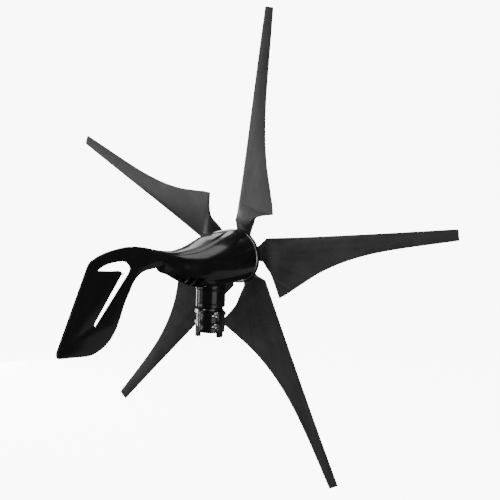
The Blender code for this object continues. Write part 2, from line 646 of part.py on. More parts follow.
def vane_outlines():
    """The vane from the side: its edge, then the slot."""
    top, rear, front, slot_outer, slot_inner = (
        [(x * MM, HUB_Z + z * MM) for x, z in line]
        for line in (VANE_TOP, VANE_REAR, VANE_FRONT, SLOT_OUTER, SLOT_INNER))
    outer = smooth_path(top) + [Vector(p) for p in rear] + smooth_path(front)
    slot = smooth_path(slot_outer) + smooth_path(slot_inner)
    return [outer, slot]


def boom_section(x):
    return body_section(x, curve_value(BOOM_TOP, x), curve_value(BOOM_BOTTOM, x),
                        curve_value(BOOM_SIDE, x), curve_value(BOOM_WIDEST, x), count=24)


def spigot_section(x):
    return nacelle_section(x, SPIGOT_INSET, 24)


butt = [(BOOM_BUTT * MM, y, z) for _, y, z in spigot_section(TAIL_JOINT_X / MM)]
tail_mesh = loft("tail_vane", [spigot_section(x) for x in SPIGOT_STATIONS] + [butt]
                 + [boom_section(x) for x in (BOOM_BUTT, *BOOM_STATIONS)])
tail_blank = add("tail_blank", tail_mesh, GLOSS_BLACK)
boolean(tail_blank, flat_outline("vane_plate", vane_outlines(), VANE_THICKNESS), "UNION")
add("tail_vane", evaluated_mesh(tail_blank, "tail_vane"), GLOSS_BLACK, nacelle)

# ---- pieces of the rotor ---------------------------------------------------------------
rotor = empty("rotor", hub)


def cornered_value(root, wing, r):
    """Value of a curve in two pieces, which meet in a corner."""
    return curve_value(root if r < wing[0][0] else wing, r)


def blade_section(r):
    """Closed ring of one section: along the rear face to the trailing edge, then back."""
    wing = min(max((r - BLADE_SLAB_END) / (BLADE_WING_START - BLADE_SLAB_END), 0), 1)
    wing = wing * wing * (3 - 2 * wing)
    thick, blunt = curve_value(BLADE_THICKNESS, r), curve_value(TRAILING_THICKNESS, r)
    thinnest = 0.5 * min(blunt, TRAILING_THICKNESS[-1][1])
    start = Vector((cornered_value(ROOT_LEADING, WING_LEADING, r), curve_value(LEADING_X, r)))
    end = Vector((cornered_value(ROOT_TRAILING, WING_TRAILING, r),
                  cornered_value(ROOT_TRAILING_X, WING_TRAILING_X, r)))
    chord = end - start
    normal = Vector((-chord.y, chord.x)).normalized()

    def half_thickness(u):
        slab = 0.5 * thick * (1 - abs(2 * u - 1) ** 10) ** 0.1
        foil = 1.30 * thick * (math.sqrt(u) - u) + 0.5 * blunt * u
        return slab * (1 - wing) + foil * wing

    ring_points = []
    for face in (-1, 1):
        for k in range(BLADE_SIDE_POINTS + 1):
            step = k / BLADE_SIDE_POINTS
            u = 0.5 - 0.5 * math.cos(math.pi * (step if face < 0 else 1 - step))
            camber = -BLADE_CAMBER * chord.length * 4 * u * (1 - u) * wing
            across = camber + face * max(half_thickness(u), thinnest)
            place = start + chord * u + normal * across
            ring_points.append((BLADE_X + place.y * MM, -place.x * MM, r * MM))
    return ring_points


blade_mesh = loft("blade", [blade_section(r) for r in BLADE_STATIONS])
blade_blank = add("blade_blank", blade_mesh, NYLON)
for side in (-1, 1):
    bolt_y = side * BLADE_BOLT_SIDE
    boolean(blade_blank, rod_cutter("blade_hole", M6_HOLE, (0.09, bolt_y, BLADE_BOLT_RADIAL),
                                    (0.13, bolt_y, BLADE_BOLT_RADIAL)))
blade_mesh = evaluated_mesh(blade_blank, "blade")
smooth_shading(blade_mesh, 40)

end_radius = SHAFT_RADIUS - 1 * MM
turned("main_shaft", [(0, SHAFT_X[1]), (end_radius, SHAFT_X[1]),
                      (SHAFT_RADIUS, SHAFT_X[1] - 1 * MM), (SHAFT_RADIUS, SHAFT_X[0] + 1 * MM),
                      (end_radius, SHAFT_X[0]), (0, SHAFT_X[0])],
       GROUND_STEEL, rotor, along_x=True)
ring("rotor_core", SHAFT_RADIUS + GAP, ROTOR_CORE_RADIUS, *ROTOR_CORE_X, LAMINATION,
     parent=rotor, along_x=True)
ring("magnet_ring", ROTOR_CORE_RADIUS + GAP, AIR_GAP_RADIUS - AIR_GAP_HALF, *ROTOR_CORE_X,
     MAGNET, parent=rotor, along_x=True)
for label, low_x in (("rear", REAR_BEARING_X), ("front", FRONT_BEARING_X)):
    ring(f"{label}_bearing_inner_race", SHAFT_RADIUS + GAP, 0.0120, low_x,
         low_x + BEARING_WIDTH - GAP, GROUND_STEEL, parent=rotor, along_x=True)

rim = HUB_PLATE_RADIUS - HUB_PLATE_ROUND
hub_bore = SHAFT_RADIUS + GAP
low_x, high_x = HUB_PLATE_X
hub_plate = turned("hub_plate", [(rim, high_x), (HUB_PLATE_RADIUS, high_x - HUB_PLATE_ROUND),
                                 (HUB_PLATE_RADIUS, low_x + HUB_PLATE_ROUND), (rim, low_x),
                                 (HUB_BOSS_RADIUS, low_x), (HUB_BOSS_RADIUS, HUB_BOSS_X),
                                 (hub_bore, HUB_BOSS_X), (hub_bore, high_x)],
                   GLOSS_BLACK, rotor, along_x=True, steps=36)
clamp_plate = ring("blade_clamp_plate", SHAFT_RADIUS + GAP, CLAMP_PLATE_RADIUS, *CLAMP_PLATE_X,
                   ALUMINIUM, parent=rotor, along_x=True)
blade_bolt_mesh = hex_bolt_mesh("blade_bolt", M6_RADIUS, BLADE_BOLT_LENGTH, M6_HEAD,
                                M6_HEAD_HEIGHT)
for index in range(BLADE_COUNT):
    turn = BLADE_START + index * 2 * math.pi / BLADE_COUNT
    add(f"blade_{index + 1}", blade_mesh, NYLON, rotor, rotation=(turn, 0, 0))
    around = Matrix.Rotation(turn, 3, "X")
    for order, side in ((1, -1), (2, 1)):
        place = around @ Vector((0, side * BLADE_BOLT_SIDE, BLADE_BOLT_RADIAL))
        bolt_x = CLAMP_PLATE_X[1] + GAP
        add(f"blade_bolt_{2 * index + order}", blade_bolt_mesh, STEEL, rotor,
            (bolt_x, place.y, place.z), (0, math.pi / 2, 0))
        spot = Vector(hub) + place
        hole = rod_cutter(f"blade_bolt_hole_{2 * index + order}", M6_HOLE,
                          spot + Vector((0.092, 0, 0)), spot + Vector((0.13, 0, 0)))
        boolean(hub_plate, hole)
        boolean(clamp_plate, hole)
shaft_nut = add("shaft_nut", prism_mesh("shaft_nut", SHAFT_NUT_RADIUS, SHAFT_NUT_HEIGHT, 6),
                STEEL, rotor, (CLAMP_PLATE_X[1] + GAP, 0, 0), (0, math.pi / 2, 0))
boolean(shaft_nut, rod_cutter("shaft_nut_bore", hub_bore, Vector(hub),
                              Vector(hub) + Vector((0.2, 0, 0)), sides=20))


def nose_cone(wall=2.2 * MM, steps=7):
    """A blunt hollow cone over the hub, with a slightly thicker tip."""
    low, high = NOSE_CONE_X
    inner_high = high - wall - 0.8 * MM
    outside, inside = [], []
    for k in range(steps + 1):
        s = k / steps
        bulge = (1 - s**1.6) ** 0.72
        outside.append((NOSE_CONE_RADIUS * bulge, low + (high - low) * s))
        inside.append(((NOSE_CONE_RADIUS - wall) * bulge, low + (inner_high - low) * s))
    turned("nose_cone", outside[::-1] + inside, GLOSS_BLACK, rotor, along_x=True)


nose_cone()

# ---- ball sets of the bearings, each between its two races ------------------------------


def ball_set(name, middle, pitch_radius, count, parent, along_x):
    """Balls held by a cage ring."""
    cage = ring(name, pitch_radius - CAGE_HALF, pitch_radius + CAGE_HALF,
                middle - BALL_RADIUS * 0.8, middle + BALL_RADIUS * 0.8, STEEL,
                along_x=along_x, steps=count * 2)
    turn = Matrix.Rotation(math.pi / 2, 4, "Y") if along_x else Matrix.Identity(4)
    for k in range(count):
        angle = 2 * math.pi * (k + 0.5) / count
        builder = bmesh.new()
        bmesh.ops.create_icosphere(builder, subdivisions=1, radius=BALL_RADIUS)
        ball = add(f"{name}_ball", to_mesh("ball", builder))
        ball.location = turn @ Vector((pitch_radius * math.cos(angle),
                                       pitch_radius * math.sin(angle), middle))
        boolean(cage, ball, "UNION")
    mesh = evaluated_mesh(cage, name)
    smooth_shading(mesh)
    add(name, mesh, STEEL, parent)


for label, low_x in (("rear", REAR_BEARING_X), ("front", FRONT_BEARING_X)):
    cage_axis = empty(f"{label}_cage_axis", hub)
    ball_set(f"{label}_bearing_balls", low_x + BEARING_WIDTH / 2, *SHAFT_BALLS, cage_axis, True)
yaw_cage_axis = empty("yaw_cage_axis", (0, 0, 0))
ball_set("yaw_bearing_balls", YAW_BEARING_Z + YAW_BEARING_WIDTH / 2, *YAW_BALLS, yaw_cage_axis,
         False)
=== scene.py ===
"""Looks of the small wind turbine: fine shells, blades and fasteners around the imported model.

Sizes are in metres where they come from the frame. Tables of outlines are in millimetres,
with heights over the rotor axis, and MM brings them to metres.
"""
import json
import math

import bmesh
import bpy
import numpy as np
from mathutils import Matrix, Vector


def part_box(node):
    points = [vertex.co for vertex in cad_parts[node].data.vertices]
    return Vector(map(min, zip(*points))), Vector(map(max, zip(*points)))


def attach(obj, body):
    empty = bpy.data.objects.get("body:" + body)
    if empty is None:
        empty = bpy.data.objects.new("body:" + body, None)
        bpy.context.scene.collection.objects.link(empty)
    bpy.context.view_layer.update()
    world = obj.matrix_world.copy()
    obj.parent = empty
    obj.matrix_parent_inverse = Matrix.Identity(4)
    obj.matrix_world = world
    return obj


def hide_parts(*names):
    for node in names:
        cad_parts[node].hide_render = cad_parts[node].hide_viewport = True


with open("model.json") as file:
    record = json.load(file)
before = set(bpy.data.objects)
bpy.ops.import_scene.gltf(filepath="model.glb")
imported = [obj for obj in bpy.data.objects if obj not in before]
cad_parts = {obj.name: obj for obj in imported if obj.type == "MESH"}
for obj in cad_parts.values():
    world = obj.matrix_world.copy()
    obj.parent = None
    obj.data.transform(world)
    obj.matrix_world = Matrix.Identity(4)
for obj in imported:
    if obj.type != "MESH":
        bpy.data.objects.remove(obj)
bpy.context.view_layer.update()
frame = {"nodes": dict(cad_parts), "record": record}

MM = 0.001
scene = bpy.context.scene


def centre(node):
    low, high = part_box(node)
    return (low + high) / 2


HUB_Z = centre("main_shaft").z
NOSE_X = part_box("nacelle_cover")[1].x
TAIL_X = -0.1990                    # joint between the nacelle and the tail boom
BLADE_X = 0.1123                    # plane of the blade tips
BLADE_START = math.radians(5.8)     # first blade, from straight up
BLADE_COUNT = 5
SHELL = 3.0 * MM                    # wall of the nacelle castings
VANE_THICKNESS = 5.6 * MM
AXIS = (0, 0, HUB_Z)                # a point on the rotor axis
NECK_RADIUS = 0.0350
NECK_BOTTOM, NECK_TOP = (corner.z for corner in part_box("yaw_housing"))

# ---- outlines --------------------------------------------------------------------------
BODY_TOP = ((-199, 53), (-167, 46), (-136, 42), (-113, 42.5), (-84, 45.5), (-60, 50.5),
            (-42, 55.5), (-25, 60.5), (4, 66.5), (33, 68.5), (62, 68.8), (87.5, 68))
BODY_BOTTOM = ((-199, 10), (-190, 8), (-180, -2), (-159, -10), (-131, -24.5), (-109, -35.5),
               (-75, -50), (-18, -60.5), (34, -61.5), (69, -59), (87.5, -57.5))
BODY_SIDE = ((-199, 15), (-167, 19), (-136, 27), (-113, 36), (-84, 47), (-60, 55),
             (-25, 62), (4, 65.5), (33, 67), (62, 67.5), (87.5, 67.5))
BODY_WIDEST = ((-199, 33), (-167, 27), (-136, 18), (-113, 10), (-84, 4), (-60, 1),
               (-25, 0), (87.5, 0))
BODY_ROUNDNESS = 2.05               # exponent of the cross-section, 2 is an ellipse
PARTING = ((-200, 11), (-186, 7), (-160, 0), (-130, -9), (-100, -17.5), (-72, -23.5),
           (-40, -25.5), (0, -25), (90, -24))
# Leaf-shaped raised band along the top: half width and height over the flanks.
SPINE_EDGE = ((-199, 9), (-156, 12.5), (-122, 14), (-91, 17), (-61, 21), (-28, 23), (4, 20),
              (37, 11), (58, 4), (88, 4))
SPINE_RISE = ((-199, 0), (-168, 0.3), (-136, 1.6), (-60, 2.4), (20, 2.2), (48, 1.0), (60, 0),
              (88, 0))
SPINE_FADE = 3.2                    # width of the crease beside the band
BASE_STEP = 1.0                     # the base's top edge stands back from the cover's
STEP_FADE = 7.0                     # and comes out to the full shape over this distance
EDGE_ROUND = 0.9                    # rounding along the parting line, in mm
EDGE_BAND = 1.1                     # strip of fine cells beside it
RIM_ROUND = 2.0                     # rounding of the front rim
WINDOW = (-0.1450, -0.0720)         # vent window in the base's side
WINDOW_COLUMNS = (10, 40)           # the grid's columns that the windows take
WINDOW_TOP = 4.2 * MM               # below the parting line
WINDOW_KEEL = 9.0 * MM              # solid keel beside the middle plane
RIB_X = (-0.1295, -0.1105, -0.0915)     # top ends of the ribs in the window
RIB_SLANT = 0.0050                  # how far forward a rib's lower end lies
RIB_WIDTH = 1.8 * MM
RIB_OVERLAP = 0.04                  # share of its length that a rib runs past the window
WEB_X = (-0.1480, -0.0760)          # middle web behind the vents
WEB_HALF = 1.0 * MM
WEB_INSET = 2.0 * MM
SCREW_X = (-0.0520, 0.0560)         # cover screws, fore and aft of the neck
SCREW_SHARE = 0.62                  # of the way from the parting line to the keel

BOOM_TOP = ((-199, 53), (-233, 62), (-262, 67.5), (-274, 68))
BOOM_BOTTOM = ((-199, 10), (-225, 8.5), (-240, 5), (-257, -6), (-274, -26))
BOOM_SIDE = ((-199, 15), (-225, 11), (-250, 6), (-274, 2.6))
BOOM_WIDEST = ((-199, 33), (-225, 34), (-250, 32), (-274, 21))
VANE_TOP = ((-256, 62), (-276, 68.6), (-305, 69), (-340, 66), (-370, 60), (-394, 51))
VANE_REAR = ((-401, 44), (-489, -131), (-486, -142))
VANE_FRONT = ((-404, -153), (-384, -152), (-354, -142), (-327, -121), (-308, -91), (-293, -57),
              (-277, -31), (-256, 4))
SLOT_OUTER = ((-374, 29), (-352, 37.5), (-320, 40), (-292, 37), (-277, 25), (-277, 13),
              (-300, -12), (-379, -94))
SLOT_INNER = ((-384, -87), (-308, 4), (-302, 12), (-309, 19.5), (-335, 22.5), (-366, 27.5))
VANE_EDGE = 1.5 * MM                # rounding along the vane's edges

# Blade, all against the distance from the axis: the edges across it (trailing side
# positive) and along it, with a corner between root and wing, then the thicknesses.
BLADE_ROOT, BLADE_TIP = 24, 600
ROOT_LEADING = ((24, -12), (44, -15), (60, -18), (70, -25), (81, -34.5))
WING_LEADING = ((81, -34.5), (205, -27.5), (410, -19.2), (600, -12.6))
ROOT_TRAILING = ((24, 12), (44, 17), (68, 20.5), (90, 36), (108, 50), (120, 77), (129, 107))
WING_TRAILING = ((129, 107), (150, 98.5), (175, 86), (240, 56.5), (315, 35), (410, 21.6),
                 (600, 12.3))
LEADING_X = ((24, -2), (44, -2), (58, -1), (68, 3.5), (81, 7.5), (121, 7.6), (205, 6.6),
             (315, 4.4), (470, 1.5), (600, 0.8))
ROOT_TRAILING_X = ((24, -2), (68, -2.4), (80, -10), (100, -24), (118, -34), (129, -37.5))
WING_TRAILING_X = ((129, -37.5), (150, -32), (205, -21), (275, -11.6), (360, -4.2),
                   (470, -0.6), (600, -1))
BLADE_THICKNESS = ((24, 16.5), (58, 16), (77, 12), (100, 9.6), (121, 8.6), (205, 8.2),
                   (315, 6.4), (410, 5.2), (600, 4))
TRAILING_THICKNESS = ((24, 16), (58, 15.5), (77, 13), (100, 10), (121, 5), (148, 2.6),
                      (205, 1.4), (240, 1.2), (600, 1.2))
BLADE_SLAB_END = 62                 # the section is a rounded slab up to here
BLADE_WING_START = 100              # and a wing's section from here
FOIL_FULLNESS = 1.30                # sets the wing's thickest place near its front
CAMBER = 0.022                      # share of the chord


# ---- curves ----------------------------------------------------------------------------
def curve_value(table, x):
    """Smooth curve through a table of (x, value), by cubic Hermite pieces."""
    points = sorted(table)
    x = min(max(x, points[0][0]), points[-1][0])
    slopes = []
    for i in range(len(points)):
        a, b = points[max(i - 1, 0)], points[min(i + 1, len(points) - 1)]
        slopes.append((b[1] - a[1]) / (b[0] - a[0]))
    for i in range(len(points) - 1):
        (x0, y0), (x1, y1) = points[i], points[i + 1]
        if x <= x1:
            break
    span = x1 - x0
    s = (x - x0) / span
    return ((2 * s**3 - 3 * s**2 + 1) * y0 + (s**3 - 2 * s**2 + s) * span * slopes[i]
            + (3 * s**2 - 2 * s**3) * y1 + (s**3 - s**2) * span * slopes[i + 1])


def smooth_path(points, steps=10):
    """Points along a smooth open curve through the given points."""
    path = [Vector(p) for p in points]
    out = []
    for i in range(len(path) - 1):
        before = path[max(i - 1, 0)]
        after = path[min(i + 2, len(path) - 1)]
        here, there = path[i], path[i + 1]
        for k in range(steps):
            s = k / steps
            out.append(here * (2 * s**3 - 3 * s**2 + 1) + there * (3 * s**2 - 2 * s**3)
                       + (there - before) / 2 * (s**3 - 2 * s**2 + s)
                       + (after - here) / 2 * (s**3 - s**2))
    out.append(path[-1])
    return out


def round_corners(points, radius, steps=5, closed=True):
    """The outline with an arc in place of each clear corner."""
    out = []
    count = len(points)
    for i in range(count):
        here = Vector(points[i])
        before = Vector(points[i - 1]) - here
        after = Vector(points[(i + 1) % count]) - here
        straight = before.length * after.length < 1e-12 or before.angle(-after) < math.radians(18)
        if straight or (not closed and i in (0, count - 1)):
            out.append(here)
            continue
        reach = min(radius, before.length * 0.45, after.length * 0.45)
        start = here + before.normalized() * reach
        end = here + after.normalized() * reach
        for k in range(steps + 1):
            s = k / steps
            out.append(start * (1 - s)**2 + here * 2 * s * (1 - s) + end * s * s)
    return out


def smoothstep(value):
    value = np.clip(value, 0, 1)
    return value * value * (3 - 2 * value)


# ---- meshes ----------------------------------------------------------------------------
def placed(name, data):
    """An object in the scene with that data."""
    obj = bpy.data.objects.new(name, data)
    scene.collection.objects.link(obj)
    return obj


def built(name, builder):
    """The mesh of a bmesh, which ends with it."""
    mesh = bpy.data.meshes.new(name)
    builder.to_mesh(mesh)
    builder.free()
    return mesh


def evaluated(obj):
    """The object's mesh with its modifiers applied."""
    bpy.context.view_layer.update()
    graph = bpy.context.evaluated_depsgraph_get()
    return bpy.data.meshes.new_from_object(obj.evaluated_get(graph))


def mesh_of(name, verts, faces, angle=40):
    mesh = bpy.data.meshes.new(name)
    mesh.from_pydata([tuple(v) for v in verts], [], faces)
    return tidy(mesh, angle)


def tidy(mesh, angle=40):
    """One skin with its faces out, smooth but for its sharp edges."""
    builder = bmesh.new()
    builder.from_mesh(mesh)
    bmesh.ops.remove_doubles(builder, verts=builder.verts, dist=2e-6)
    bmesh.ops.dissolve_degenerate(builder, edges=builder.edges, dist=1e-6)
    bmesh.ops.recalc_face_normals(builder, faces=builder.faces)
    builder.to_mesh(mesh)
    builder.free()
    mesh.shade_smooth()
    mesh.set_sharp_from_angle(angle=math.radians(angle))
    return mesh


def loft_mesh(name, sections, angle=40):
    """A closed solid through rings of equally many points."""
    count = len(sections[0])
    verts = [p for section in sections for p in section]
    faces = []
    for row in range(len(sections) - 1):
        for i in range(count):
            j = (i + 1) % count
            a, b = row * count, (row + 1) * count
            faces.append((a + i, a + j, b + j, b + i))
    faces.append(tuple(range(count)))
    faces.append(tuple(len(verts) - 1 - i for i in range(count)))
    return mesh_of(name, verts, faces, angle)


def shell_mesh(name, outer, inner, solid, angle=40):
    """A shell between two grids of points; cells that aren't solid are left open."""
    rows, columns = outer.shape[:2]
    verts = np.concatenate([outer.reshape(-1, 3), inner.reshape(-1, 3)])
    faces = []
    back = rows * columns

    def filled(i, j):
        return 0 <= i < rows - 1 and 0 <= j < columns - 1 and solid[i, j]

    for i in range(rows - 1):
        for j in range(columns - 1):
            if not solid[i, j]:
                continue
            a, b = i * columns + j, i * columns + j + 1
            c, d = a + columns, b + columns
            faces += [(a, b, d, c), (back + a, back + c, back + d, back + b)]
            for open_side, p, q in ((not filled(i - 1, j), a, b), (not filled(i + 1, j), d, c),
                                    (not filled(i, j - 1), c, a), (not filled(i, j + 1), b, d)):
                if open_side:
                    faces.append((q, p, back + p, back + q))
    mesh = mesh_of(name, verts, faces, angle)
    loose = bmesh.new()
    loose.from_mesh(mesh)
    bmesh.ops.delete(loose, geom=[v for v in loose.verts if not v.link_faces], context="VERTS")
    loose.to_mesh(mesh)
    loose.free()
    return mesh


def turned_mesh(name, profile, where=(0, 0, 0), along_x=False, steps=72, radius=0.5 * MM):
    """A turned solid; the profile is (radius, height), closed round a bore or on the axis."""
    bored = profile[0][0] > 0 and profile[-1][0] > 0
    points = round_corners(profile, radius, closed=bored)
    count = len(points)
    verts, faces = [], []
    for k in range(steps):
        turn = 2 * math.pi * k / steps
        for r, h in points:
            a, b = r * math.cos(turn), r * math.sin(turn)
            verts.append(Vector(where) + (Vector((h, a, b)) if along_x else Vector((a, b, h))))
    for k in range(steps):
        low, high = k * count, (k + 1) % steps * count
        for i in range(count if bored else count - 1):
            j = (i + 1) % count
            faces.append((low + i, low + j, high + j, high + i))
    return mesh_of(name, verts, faces, 50)


def prism_mesh(name, radius, length, sides):
    """A prism that stands on z = 0; with many sides it is round."""
    builder = bmesh.new()
    bmesh.ops.create_cone(builder, cap_ends=True, segments=sides, radius1=radius,
                          radius2=radius, depth=length)
    bmesh.ops.translate(builder, verts=builder.verts, vec=(0, 0, length / 2))
    return built(name, builder)


def block_mesh(name, low, high, turn=0.0):
    """A block, turned about the Z axis."""
    builder = bmesh.new()
    bmesh.ops.create_cube(builder, size=1.0)
    for vert in builder.verts:
        vert.co = [low[i] + (vert.co[i] + 0.5) * (high[i] - low[i]) for i in range(3)]
    bmesh.ops.rotate(builder, verts=builder.verts, matrix=Matrix.Rotation(turn, 3, "Z"))
    return built(name, builder)


def rod_mesh(name, radius, start, end, sides=48):
    start, end = Vector(start), Vector(end)
    mesh = prism_mesh(name, radius, (end - start).length, sides)
    turn = (end - start).to_track_quat("Z", "Y").to_matrix().to_4x4()
    mesh.transform(Matrix.Translation(start) @ turn)
    return mesh


def combined(mesh, tools, operation="DIFFERENCE", bevel=0.0, angle=40):
    """The mesh after a Boolean with each tool, and a small bevel on its sharp edges."""
    body = placed("body", mesh)
    helpers = [placed("tool", tool) for tool in tools]
    for helper in helpers:
        cut = body.modifiers.new("cut", "BOOLEAN")
        cut.operation = operation
        cut.object = helper
    if bevel:
        edge = body.modifiers.new("edges", "BEVEL")
        edge.width = bevel
        edge.segments = 3
        edge.limit_method = "ANGLE"
        edge.angle_limit = math.radians(45)
        edge.use_clamp_overlap = True
    result = evaluated(body)
    for obj in [body] + helpers:
        bpy.data.objects.remove(obj, do_unlink=True)
    return tidy(result, angle)


# ---- materials -------------------------------------------------------------------------
class Finish:
    """A Principled material and the nodes that feed it."""

    def __init__(self, name, metallic=0.0):
        self.material = bpy.data.materials.new(name)
        self.material.use_nodes = True
        self.tree = self.material.node_tree
        self.shader = self.tree.nodes["Principled BSDF"]
        self.shader.inputs["Metallic"].default_value = metallic
        self.place = self.tree.nodes.new("ShaderNodeTexCoord").outputs["Object"]

    def link(self, output, target):
        self.tree.links.new(output, target)

    def noise(self, scale, detail=3.0, stretch=(1, 1, 1)):
        """Noise with features of about 1 / scale metres, drawn out along some axes."""
        mapping = self.tree.nodes.new("ShaderNodeMapping")
        mapping.inputs["Scale"].default_value = stretch
        self.link(self.place, mapping.inputs["Vector"])
        node = self.tree.nodes.new("ShaderNodeTexNoise")
        node.inputs["Scale"].default_value = scale
        node.inputs["Detail"].default_value = detail
        self.link(mapping.outputs["Vector"], node.inputs["Vector"])
        return node.outputs["Fac"]

    def math(self, operation, a, b=None):
        node = self.tree.nodes.new("ShaderNodeMath")
        node.operation = operation
        for socket, value in zip(node.inputs, (a, b)):
            if isinstance(value, (int, float)):
                socket.default_value = value
            elif value is not None:
                self.link(value, socket)
        return node.outputs["Value"]

    def run_outward(self, stretch):
        """Makes the place turn with the blades: outward distances count less than others."""
        split = self.tree.nodes.new("ShaderNodeSeparateXYZ")
        self.link(self.place, split.inputs["Vector"])
        across, up = split.outputs["Y"], self.math("SUBTRACT", split.outputs["Z"], HUB_Z)
        distance = self.math("SQRT", self.math("ADD", self.math("MULTIPLY", across, across),
                                               self.math("MULTIPLY", up, up)))
        join = self.tree.nodes.new("ShaderNodeCombineXYZ")
        self.link(split.outputs["X"], join.inputs["X"])
        self.link(self.math("MULTIPLY", self.math("ARCTAN2", across, up), 0.3),
                  join.inputs["Y"])
        self.link(self.math("MULTIPLY", distance, stretch), join.inputs["Z"])
        self.place = join.outputs["Vector"]

    def span(self, fac, low, high, start=0.3, end=0.7):
        """The factor's range from start to end, brought to low to high."""
        node = self.tree.nodes.new("ShaderNodeMapRange")
        for key, value in (("From Min", start), ("From Max", end), ("To Min", low),
                           ("To Max", high)):
            node.inputs[key].default_value = value
        self.link(fac, node.inputs["Value"])
        return node.outputs["Result"]

    def mix(self, fac, a, b):
        """Colour between a and b; either may be a socket."""
        node = self.tree.nodes.new("ShaderNodeMix")
        node.data_type = "RGBA"
        for key, value in (("A", a), ("B", b)):
            socket = [s for s in node.inputs if s.name == key and s.type == "RGBA"][0]
            if isinstance(value, tuple):
                socket.default_value = (*value, 1.0)
            else:
                self.link(value, socket)
        self.link(fac, node.inputs[0])
        return [s for s in node.outputs if s.type == "RGBA"][0]

    def tones(self, fac, colour, low, high):
        """The colour between two multiples of itself."""
        return self.mix(self.span(fac, 0, 1), scaled(colour, low), scaled(colour, high))

    # Painted highlight: a mask from the mesh's pointiness, high along sharp convex edges.
    def edge_highlight(self, low, high):
        geometry = self.tree.nodes.new("ShaderNodeNewGeometry")
        return self.span(geometry.outputs["Pointiness"], 0.0, 1.0, low, high)

    def bump(self, height, distance, strength=1.0):
        node = self.tree.nodes.new("ShaderNodeBump")
        node.inputs["Distance"].default_value = distance
        node.inputs["Strength"].default_value = strength
        self.link(height, node.inputs["Height"])
        normal = self.shader.inputs["Normal"]
        if normal.is_linked:
            self.link(normal.links[0].from_socket, node.inputs["Normal"])
        self.link(node.outputs["Normal"], normal)

    def set_colour(self, output):
        self.link(output, self.shader.inputs["Base Color"])

    def set_roughness(self, output):
        self.link(output, self.shader.inputs["Roughness"])


def scaled(colour, factor):
    return tuple(c * factor for c in colour)


def gloss_black_paint(name, colour):
    """Deep black paint with faint orange peel, a few dull patches and a painted highlight that
    lightens its sharp edges.
    """
    colour = scaled(colour, 0.5)
    f = Finish(name)
    patches = f.noise(28, 4)
    body = f.mix(patches, scaled(colour, 0.8), scaled(colour, 1.5))
    # Painted highlight: sharp edges are mixed toward a lighter black.
    f.set_colour(f.mix(f.edge_highlight(0.56, 0.70), body, (0.020, 0.020, 0.021)))
    f.set_roughness(f.span(patches, 0.16, 0.24))
    f.shader.inputs["Coat Weight"].default_value = 0.25
    f.shader.inputs["Coat Roughness"].default_value = 0.08
    f.bump(f.noise(420, 2), 0.05 * MM, 0.10)
    return f.material


def charcoal_nylon(name, colour):
    """Glass-filled nylon: satin, fine grained, with flow lines out along the blade and a painted
    highlight on its sharp edges.
    """
    colour = (sum(colour) / 3,) * 3
    f = Finish(name)
    grain = f.noise(1600, 3)
    clouds = f.noise(22, 4)
    f.run_outward(0.12)
    flow = f.noise(70, 4)
    body = f.tones(flow, colour, 0.80, 1.20)
    body = f.mix(f.span(clouds, 0, 1, 0.45, 0.80), body, scaled(colour, 1.5))
    speck = f.mix(f.span(grain, 0, 1, 0.62, 0.75), body, scaled(colour, 2.4))
    # Painted highlight: sharp edges, the leading edge among them, are mixed toward a lighter grey.
    f.set_colour(f.mix(f.edge_highlight(0.54, 0.66), speck, scaled(colour, 1.9)))
    f.set_roughness(f.span(flow, 0.38, 0.50))
    f.bump(grain, 0.06 * MM, 0.35)
    f.bump(flow, 0.10 * MM, 0.35)
    return f.material


PLATING = ((300, 4), (0.82, 1.15), (900, 3), (0.16, 0.34), (1500, 2, (1, 6, 1)), (0.03, 0.4))
GRINDING = (700, 2, (4.0, 0.4, 4.0))
SHEETS = (1400, 1, (1.4, 0.01, 0.01))
STRANDS = (900, 2, (1.0, 0.12, 0.12))
TURNING = (1100, 2, (0.1, 0.1, 2.5))
# For each metal: the pattern of its tones and their range, the pattern of its roughness and
# that range, the pattern of its relief, and that relief's depth in mm and strength. A pattern
# is the noise's scale, detail and stretch.
METALS = {
    "zinc_plated_steel": PLATING,
    "magnet_plating": PLATING,
    "ground_steel": (GRINDING, (0.85, 1.1), GRINDING, (0.14, 0.30), GRINDING, (0.02, 0.5)),
    "cast_aluminium": ((350, 5), (0.72, 1.08), (120, 3), (0.36, 0.55), (350, 5), (0.12, 0.6)),
    "electrical_steel": (SHEETS, (0.35, 1.2), SHEETS, (0.55, 0.35), SHEETS, (0.15, 0.8)),
    "enamelled_copper": (STRANDS, (0.30, 1.25), STRANDS, (0.42, 0.22), STRANDS, (0.3, 0.9)),
    "brass": ((90, 3), (0.75, 1.1), TURNING, (0.18, 0.36), TURNING, (0.03, 0.5)),
}
# Plastic, rubber and pressed carbon: the range of the roughness and the scale of the grain.
MOULDED = {
    "black_moulding": ((0.45, 0.62), 1200),
    "black_rubber": ((0.70, 0.88), 700),
    "brush_carbon": ((0.50, 0.70), 2500),
}
VARNISH = {"enamelled_copper": 0.5}     # weight of a clear coat


def patterned(name, colour, metallic, tone, tones, dullness, roughness, relief, bump):
    """A finish in two tones, with patterns in its roughness and its relief."""
    f = Finish(name, metallic)
    f.set_colour(f.tones(f.noise(*tone), colour, *tones))
    f.set_roughness(f.span(f.noise(*dullness), *roughness))
    depth, strength = bump
    f.bump(f.noise(*relief), depth * MM, strength)
    f.shader.inputs["Coat Weight"].default_value = VARNISH.get(name, 0.0)
    return f.material


def finish_of(slot, colour):
    if slot == "gloss_black_paint":
        return gloss_black_paint(slot, colour)
    if slot == "charcoal_nylon":
        return charcoal_nylon(slot, colour)
    if slot in METALS:
        return patterned(slot, colour, 1.0, *METALS[slot])
    roughness, scale = MOULDED[slot]
    grain = (scale, 4)
    return patterned(slot, colour, 0.0, grain, (0.75, 1.6), (160, 3), roughness, grain,
                     (0.06, 0.5))


# A material for each slot of the record, in the record's own colour.
FINISH = {entry["slot"]: finish_of(entry["slot"], tuple(entry["base_color"][:3]))
          for entry in frame["record"]["materials"]}
SLOT_OF = {s["node"]: s["material_slot"] for s in frame["record"]["subparts"]}


